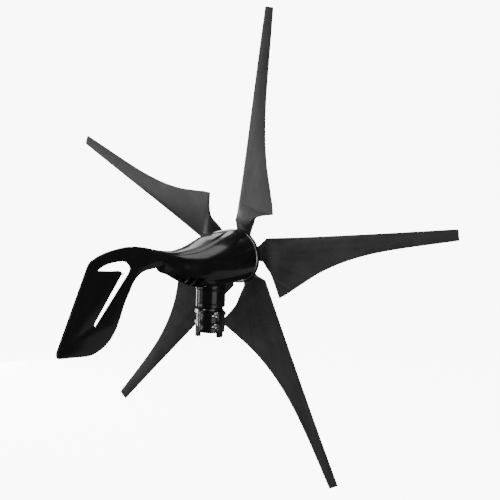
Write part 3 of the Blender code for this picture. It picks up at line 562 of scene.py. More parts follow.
def piece(name, mesh, body, slot, *nodes, place=None):
    """A visible piece that rides on a body and may stand for some of the frame's nodes."""
    obj = placed(name, mesh)
    if place is not None:
        obj.matrix_world = place
    if not mesh.materials:
        mesh.materials.append(FINISH[slot])
    mesh.materials[0] = FINISH[slot]
    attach(obj, body)
    if nodes:
        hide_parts(*nodes)


# ---- nacelle ---------------------------------------------------------------------------
def half_section(x_mm):
    """Outline on the +Y side from the top to the keel, as distances from the middle plane
    and heights over the axis, in mm."""
    top, bottom = curve_value(BODY_TOP, x_mm), curve_value(BODY_BOTTOM, x_mm)
    side, widest = curve_value(BODY_SIDE, x_mm), curve_value(BODY_WIDEST, x_mm)
    rise, edge = curve_value(SPINE_RISE, x_mm), curve_value(SPINE_EDGE, x_mm)
    turn = np.linspace(0, math.pi, 361)
    across, up = np.sin(turn), np.cos(turn)
    power = 2 / BODY_ROUNDNESS
    tall = np.where(up > 0, top - rise - widest, widest - bottom)
    y = side * np.abs(across)**power
    z = widest + np.sign(up) * np.abs(up)**power * tall
    z += np.where(up > 0, rise * smoothstep((edge - y) / SPINE_FADE + 0.5), 0)
    return y, z


def stretch(y, z, start, end):
    """The outline between two heights, with the distance along it."""
    keep = (z <= start + 1e-9) & (z >= end - 1e-9)
    ys, zs = y[keep], z[keep]
    if start < z[0]:
        ys, zs = np.insert(ys, 0, np.interp(-start, -z, y)), np.insert(zs, 0, start)
    if end > z[-1]:
        ys, zs = np.append(ys, np.interp(-end, -z, y)), np.append(zs, end)
    steps = np.hypot(np.diff(ys), np.diff(zs))
    return ys, zs, np.insert(np.cumsum(steps), 0, 0)


def knots(stops, counts):
    """Distances along an outline: even steps between stops, all of them rising."""
    out = [stops[0]]
    for a, b, count in zip(stops, stops[1:], counts):
        b = max(b, out[-1] + 0.02)
        out += list(np.linspace(out[-1], b, count + 1)[1:])
    return np.array(out)


def station_list():
    """Stations from the tail joint to the front rim, closer together at both ends."""
    rim = NOSE_X / MM
    ends = [-199.0, -198.9, -198.7, -198.4, -198.0]
    front = [rim - 2.2, rim - 1.6, rim - 1.0, rim - 0.5, rim - 0.15, rim]
    middle = list(np.arange(-196.5, rim - 3.0, 2.0))
    for wanted in WINDOW:
        nearest = min(range(len(middle)), key=lambda i: abs(middle[i] - wanted / MM))
        middle[nearest] = wanted / MM
    return ends + middle + front


def edge_roll(distance, radius):
    """How deep the surface lies at a distance from an edge with that rounding."""
    inside = np.clip(radius - distance, 0, radius)
    return radius - np.sqrt(radius**2 - inside**2)


def to_metres(x_mm, y, z):
    return np.stack([np.full(len(y), x_mm * MM), y * MM, HUB_Z + z * MM], axis=1)


def skin_grid(upper):
    """Grid of the cover's or the base's outside, and how deep each point's rounding is."""
    rows, rolls = [], []
    for x in station_list():
        y, z = half_section(x)
        parting = curve_value(PARTING, x)
        if upper:
            ys, zs, run = stretch(y, z, z[0], parting)
            ys, zs, run = ys[::-1], zs[::-1], run[-1] - run[::-1]
            edge = curve_value(SPINE_EDGE, x)
            crease = float(np.interp(-edge, -ys, run))
            half = SPINE_FADE / 2 + 0.3
            stops = (0, EDGE_BAND, crease - half, crease + half, run[-1])
            at = knots(stops, (5, 46, 8, 16))
            at = at * (run[-1] / at[-1])
        else:
            ys, zs, run = stretch(y, z, parting, z[-1])
            low = max(run[-1] - WINDOW_KEEL / MM, 0.62 * run[-1])
            high = min(WINDOW_TOP / MM, 0.45 * run[-1])
            band = min(EDGE_BAND, 0.3 * run[-1])
            at = knots((0, band, high, low, run[-1]), (5, 5, 30, 12))
        part_y, part_z = np.interp(at, run, ys), np.interp(at, run, zs)
        full_y = np.concatenate([part_y, -part_y[::-1][1:]])
        full_z = np.concatenate([part_z, part_z[::-1][1:]])
        rows.append(to_metres(x, full_y, full_z))
        depth = edge_roll(at, EDGE_ROUND)
        if not upper:
            depth = depth + BASE_STEP * (1 - smoothstep(at / STEP_FADE))
        depth = np.concatenate([depth, depth[::-1][1:]])
        rolls.append(np.maximum(depth, edge_roll(NOSE_X / MM - x, RIM_ROUND)) * MM)
    return np.array(rows), np.array(rolls)


def outward(points):
    """Unit normals of a grid that point away from the rotor axis."""
    normals = np.cross(np.gradient(points, axis=0), np.gradient(points, axis=1))
    normals /= np.maximum(np.linalg.norm(normals, axis=2, keepdims=True), 1e-12)
    away = points - np.array(AXIS)
    away[:, :, 0] = 0
    return normals * np.sign(np.sum(normals * away))


def nacelle_shell(upper):
    """The outside's grid, and a shell's two faces and filled cells."""
    points, depth = skin_grid(upper)
    normals = outward(points)
    outer = points - normals * depth[:, :, None]
    inner = points - normals * SHELL
    solid = np.ones((points.shape[0] - 1, points.shape[1] - 1), bool)
    if not upper:
        first, last = WINDOW_COLUMNS
        columns = points.shape[1] - 1
        for i in range(solid.shape[0]):
            middle = (points[i, 0, 0] + points[i + 1, 0, 0]) / 2
            if WINDOW[0] < middle < WINDOW[1]:
                solid[i, first:last] = False
                solid[i, columns - last:columns - first] = False
    return points, outer, inner, solid


def make_cover():
    mesh = shell_mesh("nacelle_cover_skin", *nacelle_shell(True)[1:], 50)
    piece("nacelle_cover_skin", mesh, "nacelle", "gloss_black_paint", "nacelle_cover")


def row_at(points, x):
    """The grid's row of points at x, from one parting line under the keel to the other."""
    xs = points[:, 0, 0]
    i = int(np.clip(np.searchsorted(xs, x) - 1, 0, len(xs) - 2))
    s = (x - xs[i]) / (xs[i + 1] - xs[i])
    return points[i] * (1 - s) + points[i + 1] * s


def surface_point(points, x, share, side):
    """Point on the base's outside at x, at a share of the way down the vent window."""
    first, last = WINDOW_COLUMNS
    column = first + share * (last - first)
    low = min(int(math.floor(column)), last - 1)
    row = row_at(points, x)
    point = row[low] * (1 - (column - low)) + row[low + 1] * (column - low)
    return Vector((point[0], side * point[1], point[2]))


def make_base():
    points, outer, inner, solid = nacelle_shell(False)
    mesh = shell_mesh("nacelle_base_skin", outer, inner, solid, 50)
    neck = centre("yaw_housing")
    cutter = rod_mesh("neck", NECK_RADIUS + 0.4 * MM, (neck.x, neck.y, 0.05),
                      (neck.x, neck.y, NECK_TOP + 0.01), 96)
    mesh = combined(mesh, [cutter], angle=50)
    piece("nacelle_base_skin", mesh, "nacelle", "gloss_black_paint", "nacelle_base")
    make_vent_ribs(points)
    make_base_web(points)
    make_cover_screws(points)


def make_vent_ribs(points):
    """Slanting ribs across both windows, each with a chamfered outer face."""
    profile = ((-1, 0.4), (-0.6, -0.1), (0.6, -0.1), (1, 0.4), (1, 5.5), (-1, 5.5))
    for side, label in ((-1, "right"), (1, "left")):
        for index, rib_x in enumerate(RIB_X):
            sections = []
            for share in np.linspace(-RIB_OVERLAP, 1 + RIB_OVERLAP, 13):
                top = surface_point(points, rib_x + RIB_SLANT * share, min(max(share, 0), 1),
                                    side)
                toward = Vector((0, -top.y, HUB_Z - top.z)).normalized()
                sections.append([top + Vector((across * RIB_WIDTH / 2, 0, 0))
                                 + toward * deep * MM for across, deep in profile])
            name = f"vent_rib_{label}_{index + 1}"
            piece(name, loft_mesh(name, sections, 30), "nacelle", "gloss_black_paint")


def make_base_web(points):
    """The base's middle rib behind the vents, between the parting line and the keel."""
    sections = []
    for x in np.linspace(*WEB_X, 16):
        row = row_at(points, x)
        seam, keel = row[0], row[len(row) // 2]
        sections.append([Vector((x, side * WEB_HALF, z))
                         for side, z in ((-1, keel[2] + WEB_INSET), (1, keel[2] + WEB_INSET),
                                         (1, seam[2] - WEB_INSET), (-1, seam[2] - WEB_INSET))])
    web = loft_mesh("base_middle_web", sections, 30)
    piece("base_middle_web", web, "nacelle", "gloss_black_paint")


def make_cover_screws(points):
    """Button-head screws in the base's sides, which hold the cover."""
    radius, low, high = 2.9 * MM, -1.5 * MM, 1.3 * MM
    profile = [(0, low), (radius, low), (radius, 0.5 * MM), (2.0 * MM, high), (0, high)]
    head = turned_mesh("cover_screw", profile, steps=48, radius=0.3 * MM)
    socket = prism_mesh("socket", 1.25 * MM, 3 * MM, 6)
    head = combined(head, [socket], angle=25)
    for side, label in ((-1, "right"), (1, "left")):
        for index, x in enumerate(SCREW_X):
            spot = surface_point(points, x, SCREW_SHARE, side)
            along = surface_point(points, x + 1 * MM, SCREW_SHARE, side) - spot
            down = surface_point(points, x, SCREW_SHARE + 0.05, side) - spot
            normal = along.cross(down).normalized()
            normal *= math.copysign(1, normal.y * side)
            place = Matrix.Translation(spot) @ normal.to_track_quat("Z", "Y").to_matrix().to_4x4()
            piece(f"cover_screw_{label}_{index + 1}", head, "nacelle", "zinc_plated_steel",
                  place=place)


# ---- yaw housing and tail --------------------------------------------------------------
def make_housing():
    """The neck: a bead under the nacelle, a groove over the foot, and a seat for the bearing."""
    bead, groove, inner, lip, seat = 0.0366, NECK_RADIUS - 1.3 * MM, 0.0190, 0.0215, 0.0278
    bearing_low, bearing_high = (corner.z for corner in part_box("yaw_bearing_outer_race"))
    profile = [(NECK_RADIUS, NECK_TOP), (NECK_RADIUS, 0.1078), (bead, 0.1062), (bead, 0.1042),
               (NECK_RADIUS, 0.1030), (NECK_RADIUS, 0.0718), (groove, 0.0712),
               (groove, 0.0703), (NECK_RADIUS, 0.0697), (NECK_RADIUS, NECK_BOTTOM + 3 * MM),
               (NECK_RADIUS - 3 * MM, NECK_BOTTOM), (lip, NECK_BOTTOM),
               (lip, bearing_low - 0.3 * MM), (seat, bearing_low - 0.3 * MM),
               (seat, bearing_high + 1 * MM), (inner, bearing_high + 1 * MM),
               (inner, NECK_TOP)]
    mesh = turned_mesh("yaw_housing_skin", profile, steps=128, radius=1.1 * MM)
    piece("yaw_housing_skin", mesh, "nacelle", "gloss_black_paint", "yaw_housing")


def boom_section(x, count=72):
    """Ring of the boom at x, in mm."""
    top, bottom = curve_value(BOOM_TOP, x), curve_value(BOOM_BOTTOM, x)
    side, widest = curve_value(BOOM_SIDE, x), curve_value(BOOM_WIDEST, x)
    power = 2 / BODY_ROUNDNESS
    ring = []
    for k in range(count):
        turn = 2 * math.pi * k / count
        across, up = math.sin(turn), math.cos(turn)
        tall = top - widest if up > 0 else widest - bottom
        y = math.copysign(abs(across)**power, across) * side
        z = widest + math.copysign(abs(up)**power, up) * tall
        ring.append((x * MM, y * MM, HUB_Z + z * MM))
    return ring


def spigot_section(x, inset=4.7, count=72):
    """Ring of the tongue that the nacelle's rear end closes round."""
    y, z = half_section(x)
    run = np.insert(np.cumsum(np.hypot(np.diff(y), np.diff(z))), 0, 0)
    at = np.linspace(0, run[-1], count // 2 + 1)
    ys, zs = np.interp(at, run, y), np.interp(at, run, z)
    middle = (zs[0] + zs[-1]) / 2
    half = (zs[0] - zs[-1]) / 2
    shrink_y = (ys.max() - inset) / ys.max()
    shrink_z = (half - inset) / half
    full = list(zip(ys, zs)) + list(zip(-ys[::-1], zs[::-1]))[1:-1]
    return [(x * MM, a * shrink_y * MM, HUB_Z + (middle + (b - middle) * shrink_z) * MM)
            for a, b in full]


def vane_mesh():
    """The flat vane with its slot, rounded along all its edges."""
    def flat(points):
        return [(x * MM, HUB_Z + z * MM) for x, z in points]

    top, front = smooth_path(flat(VANE_TOP)), smooth_path(flat(VANE_FRONT))
    outer = round_corners(top + [Vector(p) for p in flat(VANE_REAR)] + front, 7 * MM)
    slot = round_corners(smooth_path(flat(SLOT_OUTER)) + smooth_path(flat(SLOT_INNER)), 3 * MM)
    curve = bpy.data.curves.new("vane", "CURVE")
    curve.dimensions = "2D"
    curve.fill_mode = "BOTH"
    curve.extrude = VANE_THICKNESS / 2 - VANE_EDGE
    curve.bevel_depth = VANE_EDGE
    curve.bevel_resolution = 3
    curve.offset = -VANE_EDGE
    for outline in (outer, slot):
        spline = curve.splines.new("POLY")
        spline.points.add(len(outline) - 1)
        spline.use_cyclic_u = True
        for point, (x, z) in zip(spline.points, outline):
            point.co = (x, z, 0, 1)
    flat_obj = placed("vane", curve)
    flat_obj.rotation_euler = (math.pi / 2, 0, 0)
    mesh = evaluated(flat_obj)
    mesh.transform(flat_obj.matrix_world)
    bpy.data.objects.remove(flat_obj, do_unlink=True)
    return tidy(mesh, 40)


def make_tail():
    """The vane and its boom, whose tongue goes into the nacelle with a chamfered shoulder."""
    joint = TAIL_X / MM - 0.35
    middle, chamfer = 0.0315, 0.985
    boom = [boom_section(x) for x in np.linspace(joint, -274, 44)]
    boom.insert(0, [(joint * MM, y * chamfer, HUB_Z + middle + (z - HUB_Z - middle) * chamfer)
                    for _, y, z in boom[0]])
    tongue = [spigot_section(x) for x in (-176, -184, -192, -198)]
    last = [(joint * MM, y, z) for _, y, z in tongue[-1]]
    mesh = loft_mesh("tail", tongue + [last] + boom, 30)
    mesh = combined(mesh, [vane_mesh()], "UNION", angle=32)
    piece("tail_vane_skin", mesh, "nacelle", "gloss_black_paint", "tail_vane")


# ---- mast clamp ------------------------------------------------------------------------
CLAMP_LOW = 0.0
CLAMP_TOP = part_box("clamp_rear_half")[1].z
CLAMP_RADIUS = 0.0325
CLAMP_BORE = 0.0243
CLAMP_SPLIT = 0.8 * MM
CLAMP_EAR = 0.0112                  # half the width of both ears together
EAR_REACH = (0.0262, 0.0362)
LEG_REACH = (0.0252, 0.0352)
LEG_HALF = 0.0068
LEG_TOP = 0.0120
BOLT_SEAT = 0.0108
BOLT_Y = abs(centre("clamp_bolt_1").y)
BOLT_Z = (centre("clamp_bolt_1").z, centre("clamp_bolt_2").z)
LEG_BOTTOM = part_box("clamp_rear_half")[0].z
LEG_ANGLES = (math.radians(-90), math.radians(30), math.radians(150))


def clamp_body():
    """Both halves in one: two broad bands, ears for the bolts and three rounded legs."""
    rib = 1.6 * MM
    profile = [(CLAMP_RADIUS - 2 * MM, CLAMP_TOP), (CLAMP_RADIUS, CLAMP_TOP - 2 * MM)]
    for z in BOLT_Z:
        profile += [(CLAMP_RADIUS, z + 5.9 * MM), (CLAMP_RADIUS - rib, z + 5.0 * MM),
                    (CLAMP_RADIUS - rib, z - 5.0 * MM), (CLAMP_RADIUS, z - 5.9 * MM)]
    profile += [(CLAMP_RADIUS, CLAMP_LOW), (CLAMP_BORE, CLAMP_LOW), (CLAMP_BORE, CLAMP_TOP)]
    body = turned_mesh("clamp", profile, steps=96, radius=0.8 * MM)
    joined = []
    for side in (-1, 1):
        low, high = sorted(side * reach for reach in EAR_REACH)
        joined.append(block_mesh("ear", (-CLAMP_EAR, low, 0.7 * MM),
                                 (CLAMP_EAR, high, CLAMP_TOP - 0.7 * MM)))
    for angle in LEG_ANGLES:
        joined.append(block_mesh("leg", (LEG_REACH[0], -LEG_HALF, LEG_BOTTOM),
                                 (LEG_REACH[1], LEG_HALF, LEG_TOP), angle))
    return combined(body, joined, "UNION")


def make_clamp():
    """Both halves, with bores and spot faces for the bolts."""
    body = clamp_body()
    for sign, label in ((-1, "rear"), (1, "front")):
        low, high = sorted((sign * CLAMP_SPLIT, sign * 0.06))
        half = combined(body.copy(), [block_mesh("side", (low, -0.06, -0.03), (high, 0.06, 0.08))],
                        "INTERSECT")
        cuts = []
        for side in (-1, 1):
            for z in BOLT_Z:
                y = side * BOLT_Y
                cuts.append(rod_mesh("hole", HOLE_RADIUS, (-0.03, y, z), (0.03, y, z), 32))
                cuts.append(rod_mesh("spot", 6.3 * MM, (sign * BOLT_SEAT, y, z),
                                     (sign * 0.05, y, z), 40))
        half = combined(half, cuts, bevel=0.45 * MM)
        piece(f"clamp_{label}_casting", half, "mast_mount", "gloss_black_paint",
              f"clamp_{label}_half")


# ---- fasteners -------------------------------------------------------------------------
def hex_prism(name, across, height, chamfer=0.55 * MM):
    """A hexagon with its corners cut back at both ends, from z = 0 up."""
    corner = across / math.sqrt(3)
    hexagon = prism_mesh(name, corner, height, 6)
    cone = turned_mesh("cone", [(0, height + 0.2 * MM), (corner - chamfer, height + 0.01 * MM),
                                (corner + 0.6 * MM, height - chamfer),
                                (corner + 0.6 * MM, chamfer), (corner - chamfer, -0.01 * MM),
                                (0, -0.2 * MM)], steps=48, radius=0)
    return combined(hexagon, [cone], "INTERSECT", angle=25)


def threaded_profile(radius, low, high, pitch=1.0 * MM, depth=0.42 * MM):
    """Radius and height down a thread's outside, from high to low."""
    points = []
    z = high
    while z - pitch > low:
        points += [(radius - depth, z), (radius, z - 0.38 * pitch), (radius, z - 0.58 * pitch)]
        z -= pitch
    return points + [(radius - depth, z)]


def bolt_mesh(name, length, plain):
    """An M6 bolt with its head on z = 0: a plain shank, then thread to a chamfered end."""
    radius = 2.8 * MM
    profile = [(0, 2 * MM), (radius, 2 * MM), (radius, -plain)]
    profile += threaded_profile(radius, -length + 0.8 * MM, -plain - 0.3 * MM)
    profile += [(radius - 0.7 * MM, -length), (0, -length)]
    shank = turned_mesh(name, profile, steps=40, radius=0)
    return combined(hex_prism(name, 10 * MM, 4 * MM), [shank], "UNION", angle=25)


def nut_mesh(name, across=10 * MM, height=5 * MM, bore=2.55 * MM, washer=0.9 * MM):
    """A hexagon nut with a threaded bore on a round washer, which starts at z = 0."""
    nut = hex_prism(name, across, height)
    nut.transform(Matrix.Translation((0, 0, washer)))
    disc = turned_mesh("washer", [(across * 0.60, washer + 0.05 * MM), (across * 0.60, 0),
                                  (bore + 0.2 * MM, 0), (bore + 0.2 * MM, washer + 0.05 * MM)],
                       steps=48, radius=0.2 * MM)
    nut = combined(nut, [disc], "UNION")
    hole = rod_mesh("hole", bore + 0.35 * MM, (0, 0, -1 * MM), (0, 0, height + 3 * MM), 32)
    return combined(nut, [hole], angle=25)


def make_clamp_fasteners():
    """Four bolts, from the front at one side and from the rear at the other, with nuts."""
    low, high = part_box("clamp_bolt_1")
    bolt = bolt_mesh("clamp_bolt", high.x - low.x - 4 * MM, 20 * MM)
    nut = nut_mesh("clamp_nut")
    for index in range(4):
        side = 1 if index < 2 else -1
        node = f"clamp_bolt_{index + 1}"
        where = centre(node)
        seat = side * (BOLT_SEAT + 0.3 * MM)
        turn = Matrix.Rotation(side * math.pi / 2, 4, "Y")
        twist = Matrix.Rotation(math.radians(17 + 23 * index), 4, "Z")
        head = Matrix.Translation((seat, where.y, where.z)) @ turn @ twist
        piece(f"clamp_bolt_{index + 1}_fine", bolt, "mast_mount", "zinc_plated_steel", node,
              place=head)
        back = Matrix.Rotation(-side * math.pi / 2, 4, "Y")
        spot = Matrix.Translation((-side * (BOLT_SEAT + 0.05 * MM), where.y, where.z))
        spot = spot @ back @ twist
        piece(f"clamp_nut_{index + 1}", nut, "mast_mount", "zinc_plated_steel", place=spot)


# ---- rotor -----------------------------------------------------------------------------
BOLT_RADIAL = 0.0315                # place of a blade's bolts, out from the axis
BOLT_SIDE = 0.0082                  # and to both sides of the blade's line
HOLE_RADIUS = 3.2 * MM
RIM_WIDTH = 7.0 * MM                # of the hub plate, along the axis
BLADE_SHOULDER_END = 175            # sections lie closer together up to here, in mm
TIP_ROUND = 3.0                     # length of a blade's rounded tip, in mm
TIP_STEPS = (3.0, 1.6, 0.7, 0.15)


def blade_turn(index, size):
    return Matrix.Rotation(BLADE_START + index * 2 * math.pi / BLADE_COUNT, size, "X")


def blade_section(values, side_points=22):
    """Closed ring of one section: along the rear face to the trailing edge, then back."""
    r, lead, trail, lead_x, trail_x, thick, blunt = values
    wing = float(smoothstep((r - BLADE_SLAB_END) / (BLADE_WING_START - BLADE_SLAB_END)))
    start = Vector((lead, lead_x))
    chord = Vector((trail, trail_x)) - start
    normal = Vector((-chord.y, chord.x)).normalized()
    ring = []
    for face in (-1, 1):
        for k in range(side_points + 1):
            step = k / side_points
            u = 0.5 - 0.5 * math.cos(math.pi * (step if face < 0 else 1 - step))
            slab = 0.5 * thick * (1 - abs(2 * u - 1)**10)**0.1
            foil = FOIL_FULLNESS * thick * (math.sqrt(u) - u) + 0.5 * blunt * u
            half = max(slab * (1 - wing) + foil * wing, 0)
            round_off = 0.5 * min(blunt, 1.2)
            half = max(half, round_off * math.sqrt(max(1 - max((u - 0.985) / 0.015, 0)**2, 0)))
            camber = -CAMBER * chord.length * 4 * u * (1 - u) * wing
            place = start + chord * u + normal * (camber + face * half)
            ring.append((BLADE_X + place.y * MM, -place.x * MM, r * MM))
    return ring


def cornered_value(root, wing, r):
    """Value of a curve in two pieces, which meet in a corner."""
    return curve_value(root if r < wing[0][0] else wing, r)


def blade_values(r):
    """Edges and thicknesses of a blade at a distance from the axis."""
    return [cornered_value(ROOT_LEADING, WING_LEADING, r),
            cornered_value(ROOT_TRAILING, WING_TRAILING, r), curve_value(LEADING_X, r),
            cornered_value(ROOT_TRAILING_X, WING_TRAILING_X, r),
            curve_value(BLADE_THICKNESS, r), curve_value(TRAILING_THICKNESS, r)]


def blade_mesh():
    """A blade that stands straight up from the axis, with its tip rounded off."""
    lead_corner, trail_corner = WING_LEADING[0][0], WING_TRAILING[0][0]
    radii = list(np.linspace(BLADE_ROOT, lead_corner, 36))
    radii += list(np.linspace(lead_corner, trail_corner, 32)[1:])
    radii += list(np.linspace(trail_corner, BLADE_SHOULDER_END, 20)[1:])
    radii += list(np.linspace(BLADE_SHOULDER_END, BLADE_TIP - 5, 76)[1:])
    radii += [BLADE_TIP - step for step in TIP_STEPS]
    sections = []
    for r in radii:
        values = [r] + blade_values(r)
        short = math.sqrt(max(1 - max((r - BLADE_TIP + TIP_ROUND) / TIP_ROUND, 0)**2, 0.02))
        middle = (values[1] + values[2]) / 2
        reach = 1 - (1 - short) * 0.16
        for edge in (1, 2):
            values[edge] = middle + (values[edge] - middle) * reach
        for thickness in (5, 6):
            values[thickness] *= short
        sections.append(blade_section(values))
    mesh = loft_mesh("blade", sections, 42)
    holes = [rod_mesh("hole", HOLE_RADIUS, (0.09, side * BOLT_SIDE, BOLT_RADIAL),
                      (0.13, side * BOLT_SIDE, BOLT_RADIAL), 32) for side in (-1, 1)]
    return combined(mesh, holes, angle=42)


def make_blades():
    """Blades whose meshes are already turned, so that their boxes fit them closely."""
    mesh = blade_mesh()
    for index in range(BLADE_COUNT):
        turned_blade = mesh.copy()
        turned_blade.transform(Matrix.Translation(AXIS) @ blade_turn(index, 4))
        piece(f"blade_{index + 1}_fine", turned_blade, "rotor", "charcoal_nylon",
              f"blade_{index + 1}")


def make_hub():
    """The hub plate and the clamp plate, bored for the blades' bolts, and the bolts."""
    low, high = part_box("hub_plate")
    rim = (high.z - low.z) / 2
    shaft_low, shaft_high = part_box("main_shaft")
    bore = (shaft_high.z - shaft_low.z) / 2 + 0.3 * MM
    boss, foot = 0.0170, 0.0230
    back = high.x - RIM_WIDTH
    profile = [(rim, high.x), (rim, back), (rim - 5 * MM, back), (rim - 6 * MM, back + 1 * MM),
               (foot, back + 1 * MM), (boss, back - 1.5 * MM), (boss, low.x), (bore, low.x),
               (bore, high.x)]
    plate = turned_mesh("hub_plate", profile, AXIS, True, 144, 1.3 * MM)
    clamp_low, clamp_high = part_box("blade_clamp_plate")
    outer = (clamp_high.z - clamp_low.z) / 2
    disc = turned_mesh("clamp_plate", [(outer, clamp_high.x), (outer, clamp_low.x),
                                       (bore, clamp_low.x), (bore, clamp_high.x)],
                       AXIS, True, 96, 0.7 * MM)
    spots = [blade_turn(index, 3) @ Vector((0, side * BOLT_SIDE, BOLT_RADIAL)) + Vector(AXIS)
             for index in range(BLADE_COUNT) for side in (-1, 1)]
    for mesh, node in ((plate, "hub_plate"), (disc, "blade_clamp_plate")):
        cuts = [rod_mesh("hole", HOLE_RADIUS, spot + Vector((0.08, 0, 0)),
                         spot + Vector((0.13, 0, 0)), 32) for spot in spots]
        piece(node + "_fine", combined(mesh, cuts), "rotor", SLOT_OF[node], node)
    bolt = bolt_mesh("blade_bolt", 26.5 * MM, 8 * MM)
    for number, spot in enumerate(spots):
        node = f"blade_bolt_{number + 1}"
        place = (Matrix.Translation(spot + Vector((clamp_high.x + 0.3 * MM, 0, 0)))
                 @ Matrix.Rotation(math.pi / 2, 4, "Y")
                 @ Matrix.Rotation(math.radians(11 + 31 * number), 4, "Z"))
        piece(node + "_fine", bolt, "rotor", SLOT_OF[node], node, place=place)


def make_hub_ring():
    """The machined seat behind the hub plate, seen through the gap behind it."""
    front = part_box("hub_plate")[1].x - RIM_WIDTH
    back = front - 3.6 * MM
    outer, inner = 0.0646, 0.0590
    profile = [(outer, front), (outer, front - 0.8 * MM), (0.0622, back), (inner, back),
               (inner, front)]
    mesh = turned_mesh("hub_seat_ring", profile, AXIS, True, 144, 0.3 * MM)
    piece("hub_seat_ring", mesh, "rotor", "cast_aluminium")


def make_nose_cone():
    low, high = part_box("nose_cone")
    radius = (high.z - low.z) / 2
    wall, end_wall = 2.2 * MM, 3.0 * MM
    steps = 26
    outside, inside = [], []
    for k in range(steps + 1):
        s = math.sin(0.5 * math.pi * k / steps)
        width = (1 - s**1.6)**0.72 if s < 1 else 0
        outside.append((radius * width, low.x + (high.x - low.x) * s))
        inside.append(((radius - wall) * width, low.x + (high.x - end_wall - low.x) * s))
    mesh = turned_mesh("nose_cone", outside[::-1] + inside, AXIS, True, 96, 0)
    piece("nose_cone_fine", mesh, "rotor", "gloss_black_paint", "nose_cone")


# ---- turned pieces inside --------------------------------------------------------------
def radii_about(node, axis, middle):
    """Smallest and largest distance of a node's corners from an axis."""
    points = np.array([v.co for v in frame["nodes"][node].data.vertices]) - np.array(middle)
    keep = [i for i in range(3) if i != axis]
    distance = np.hypot(points[:, keep[0]], points[:, keep[1]])
    return float(distance.min()), float(distance.max())


def fine_ring(node, body, along_x):
    """A turned ring in place of a faceted one, with rounded edges."""
    axis = 0 if along_x else 2
    middle = AXIS if along_x else (0, 0, 0)
    inner, outer = radii_about(node, axis, middle)
    low, high = (c[axis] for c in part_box(node))
    profile = [(outer, high), (outer, low), (inner, low), (inner, high)]
    mesh = turned_mesh(node, profile, middle, along_x, 96, 0.35 * MM)
    piece(node + "_fine", mesh, body, SLOT_OF[node], node)


def fine_balls(node, body, along_x, pitch, count, ball=1.9 * MM):
    """Round balls on a circle of that radius, in a pressed cage."""
    axis = 0 if along_x else 2
    middle = Vector(AXIS if along_x else (0, 0, 0))
    height = centre(node)[axis]
    parts = []
    for k in range(count):
        turn = 2 * math.pi * (k + 0.5) / count
        a, b = pitch * math.cos(turn), pitch * math.sin(turn)
        place = Vector((0, b, -a) if along_x else (a, b, 0))
        place[axis] = height
        builder = bmesh.new()
        bmesh.ops.create_uvsphere(builder, u_segments=28, v_segments=16, radius=ball)
        bmesh.ops.translate(builder, verts=builder.verts, vec=place + middle)
        parts.append(built("ball", builder))
    wide, tall = 0.7 * MM, ball * 0.8
    cage = turned_mesh("cage", [(pitch + wide, height + tall), (pitch + wide, height - tall),
                                (pitch - wide, height - tall), (pitch - wide, height + tall)],
                       middle, along_x, 96, 0.3 * MM)
    mesh = combined(cage, parts, "UNION")
    piece(node + "_fine", mesh, body, SLOT_OF[node], node)


def make_insides():
    rings = (("mast_mount", False, ("yaw_bearing_inner_race", "yaw_nut", "slip_ring_1",
                                    "slip_ring_2", "slip_ring_3")),
             ("nacelle", False, ("yaw_bush", "yaw_bearing_outer_race")),
             ("nacelle", True, ("stator_core", "rear_bearing_outer_race",
                                "front_bearing_outer_race")),
             ("rotor", True, ("rotor_core", "magnet_ring", "rear_bearing_inner_race",
                              "front_bearing_inner_race")))
    for body, along_x, nodes in rings:
        for node in nodes:
            fine_ring(node, body, along_x)
    for end in ("rear", "front"):
        fine_balls(f"{end}_bearing_balls", f"{end}_cage", True, 0.01425, 7)
    fine_balls("yaw_bearing_balls", "yaw_cage", False, 0.02125, 9)


# ---- studio ----------------------------------------------------------------------------
AZIMUTH, ELEVATION, ROLL = (math.radians(v) for v in (-51.91, 10.398, 1.849))
CAMERA_DISTANCE = 2.7549
LOOK_AT = Vector((0.1461, 0.0, 0.1778))
LENS = 80.12                        # mm, on a 36 mm sensor
FLOOR_Z = -0.62
SKY_CAMERA, SKY_DIFFUSE, SKY_GLOSSY = 9.0, 0.8, 0.04
LIGHTS = {                          # place, size and watts of each soft box
    "shoulder": ((0.70, -0.55, 2.00), (2.2, 1.3), 20),
    "spine": ((1.20, 1.10, 1.55), (1.3, 0.9), 12),
    "backdrop": ((1.50, 1.20, 0.50), (1.2, 0.35), 5),
    "rim": ((0.75, 1.85, 0.10), (0.4, 1.5), 13),
    "left": ((-0.90, 2.20, 0.25), (0.7, 2.0), 14),
    "nuts": ((-1.80, 1.45, -0.15), (0.70, 0.70), 6),
    "high_left": ((-0.40, 1.40, 1.95), (1.0, 0.8), 7),
    "right": ((-0.90, -2.30, -0.10), (1.5, 1.8), 11),
    "top": ((-0.60, 0.10, 2.00), (0.8, 0.5), 7),
    "under": ((0.54, -0.32, -0.47), (1.2, 0.6), 0.5),
}


def camera_axes():
    back = Vector((math.sin(AZIMUTH) * math.cos(ELEVATION),
                   -math.cos(AZIMUTH) * math.cos(ELEVATION), math.sin(ELEVATION)))
    right = Vector((0, 0, 1)).cross(back).normalized()
    up = back.cross(right)
    c, s = math.cos(ROLL), math.sin(ROLL)
    return right * c + up * s, up * c - right * s, back


def make_camera():
    right, up, back = camera_axes()
    data = bpy.data.cameras.new("camera")
    data.lens = LENS
    data.sensor_width = 36
    camera = placed("camera", data)
    camera.matrix_world = Matrix((
        (right.x, up.x, back.x, 0), (right.y, up.y, back.y, 0), (right.z, up.z, back.z, 0),
        (0, 0, 0, 1)))
    camera.location = LOOK_AT + back * CAMERA_DISTANCE
    scene.camera = camera


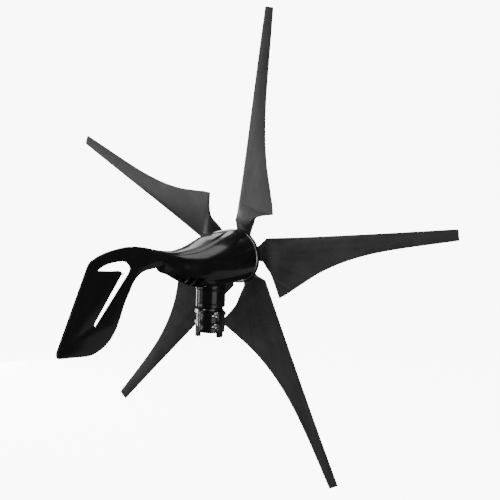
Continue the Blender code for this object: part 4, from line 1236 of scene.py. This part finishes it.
def soft_box(name, place, target, size, power):
    """A rectangular light at a place, facing a target; power is in watts."""
    data = bpy.data.lights.new(name, "AREA")
    data.shape = "RECTANGLE"
    data.size, data.size_y = size
    data.energy = power
    light = placed(name, data)
    light.location = place
    aim = Vector(target) - Vector(place)
    light.rotation_euler = aim.to_track_quat("-Z", "Y").to_euler()
    light.visible_camera = False


def make_studio():
    """Soft boxes over a pale floor, in a white room that the paint hardly mirrors."""
    world = bpy.data.worlds.new("studio")
    scene.world = world
    world.use_nodes = True
    tree = world.node_tree
    shade = tree.nodes["Background"]
    shade.inputs["Color"].default_value = (1.0, 1.0, 1.0, 1.0)
    path = tree.nodes.new("ShaderNodeLightPath")
    level = SKY_GLOSSY
    for ray, strength in (("Is Diffuse Ray", SKY_DIFFUSE), ("Is Camera Ray", SKY_CAMERA)):
        pick = tree.nodes.new("ShaderNodeMix")
        tree.links.new(path.outputs[ray], pick.inputs["Factor"])
        if isinstance(level, float):
            pick.inputs["A"].default_value = level
        else:
            tree.links.new(level, pick.inputs["A"])
        pick.inputs["B"].default_value = strength
        level = pick.outputs["Result"]
    tree.links.new(level, shade.inputs["Strength"])

    middle = (-0.05, 0, HUB_Z)
    for name, (place, size, power) in LIGHTS.items():
        soft_box(name, place, middle, size, power)

    builder = bmesh.new()
    bmesh.ops.create_grid(builder, x_segments=2, y_segments=2, size=60)
    floor = placed("floor", built("floor", builder))
    floor.location.z = FLOOR_Z
    plain = Finish("pale_floor")
    plain.set_colour(plain.mix(plain.noise(3, 2), (0.93, 0.93, 0.93), (0.95, 0.95, 0.95)))
    plain.set_roughness(plain.span(plain.noise(6, 2), 0.85, 0.95))
    plain.shader.inputs["Emission Color"].default_value = (1.0, 1.0, 1.0, 1.0)
    plain.shader.inputs["Emission Strength"].default_value = SKY_CAMERA - SKY_DIFFUSE
    floor.data.materials.append(plain.material)
    floor.visible_glossy = False
    floor.visible_diffuse = False


# ---- build -----------------------------------------------------------------------------
make_camera()
make_cover()
make_base()
make_housing()
make_tail()
make_clamp()
make_clamp_fasteners()
make_blades()
make_hub()
make_hub_ring()
make_nose_cone()
make_insides()
for node, obj in frame["nodes"].items():
    obj.data.materials.clear()
    obj.data.materials.append(FINISH[SLOT_OF[node]])
make_studio()
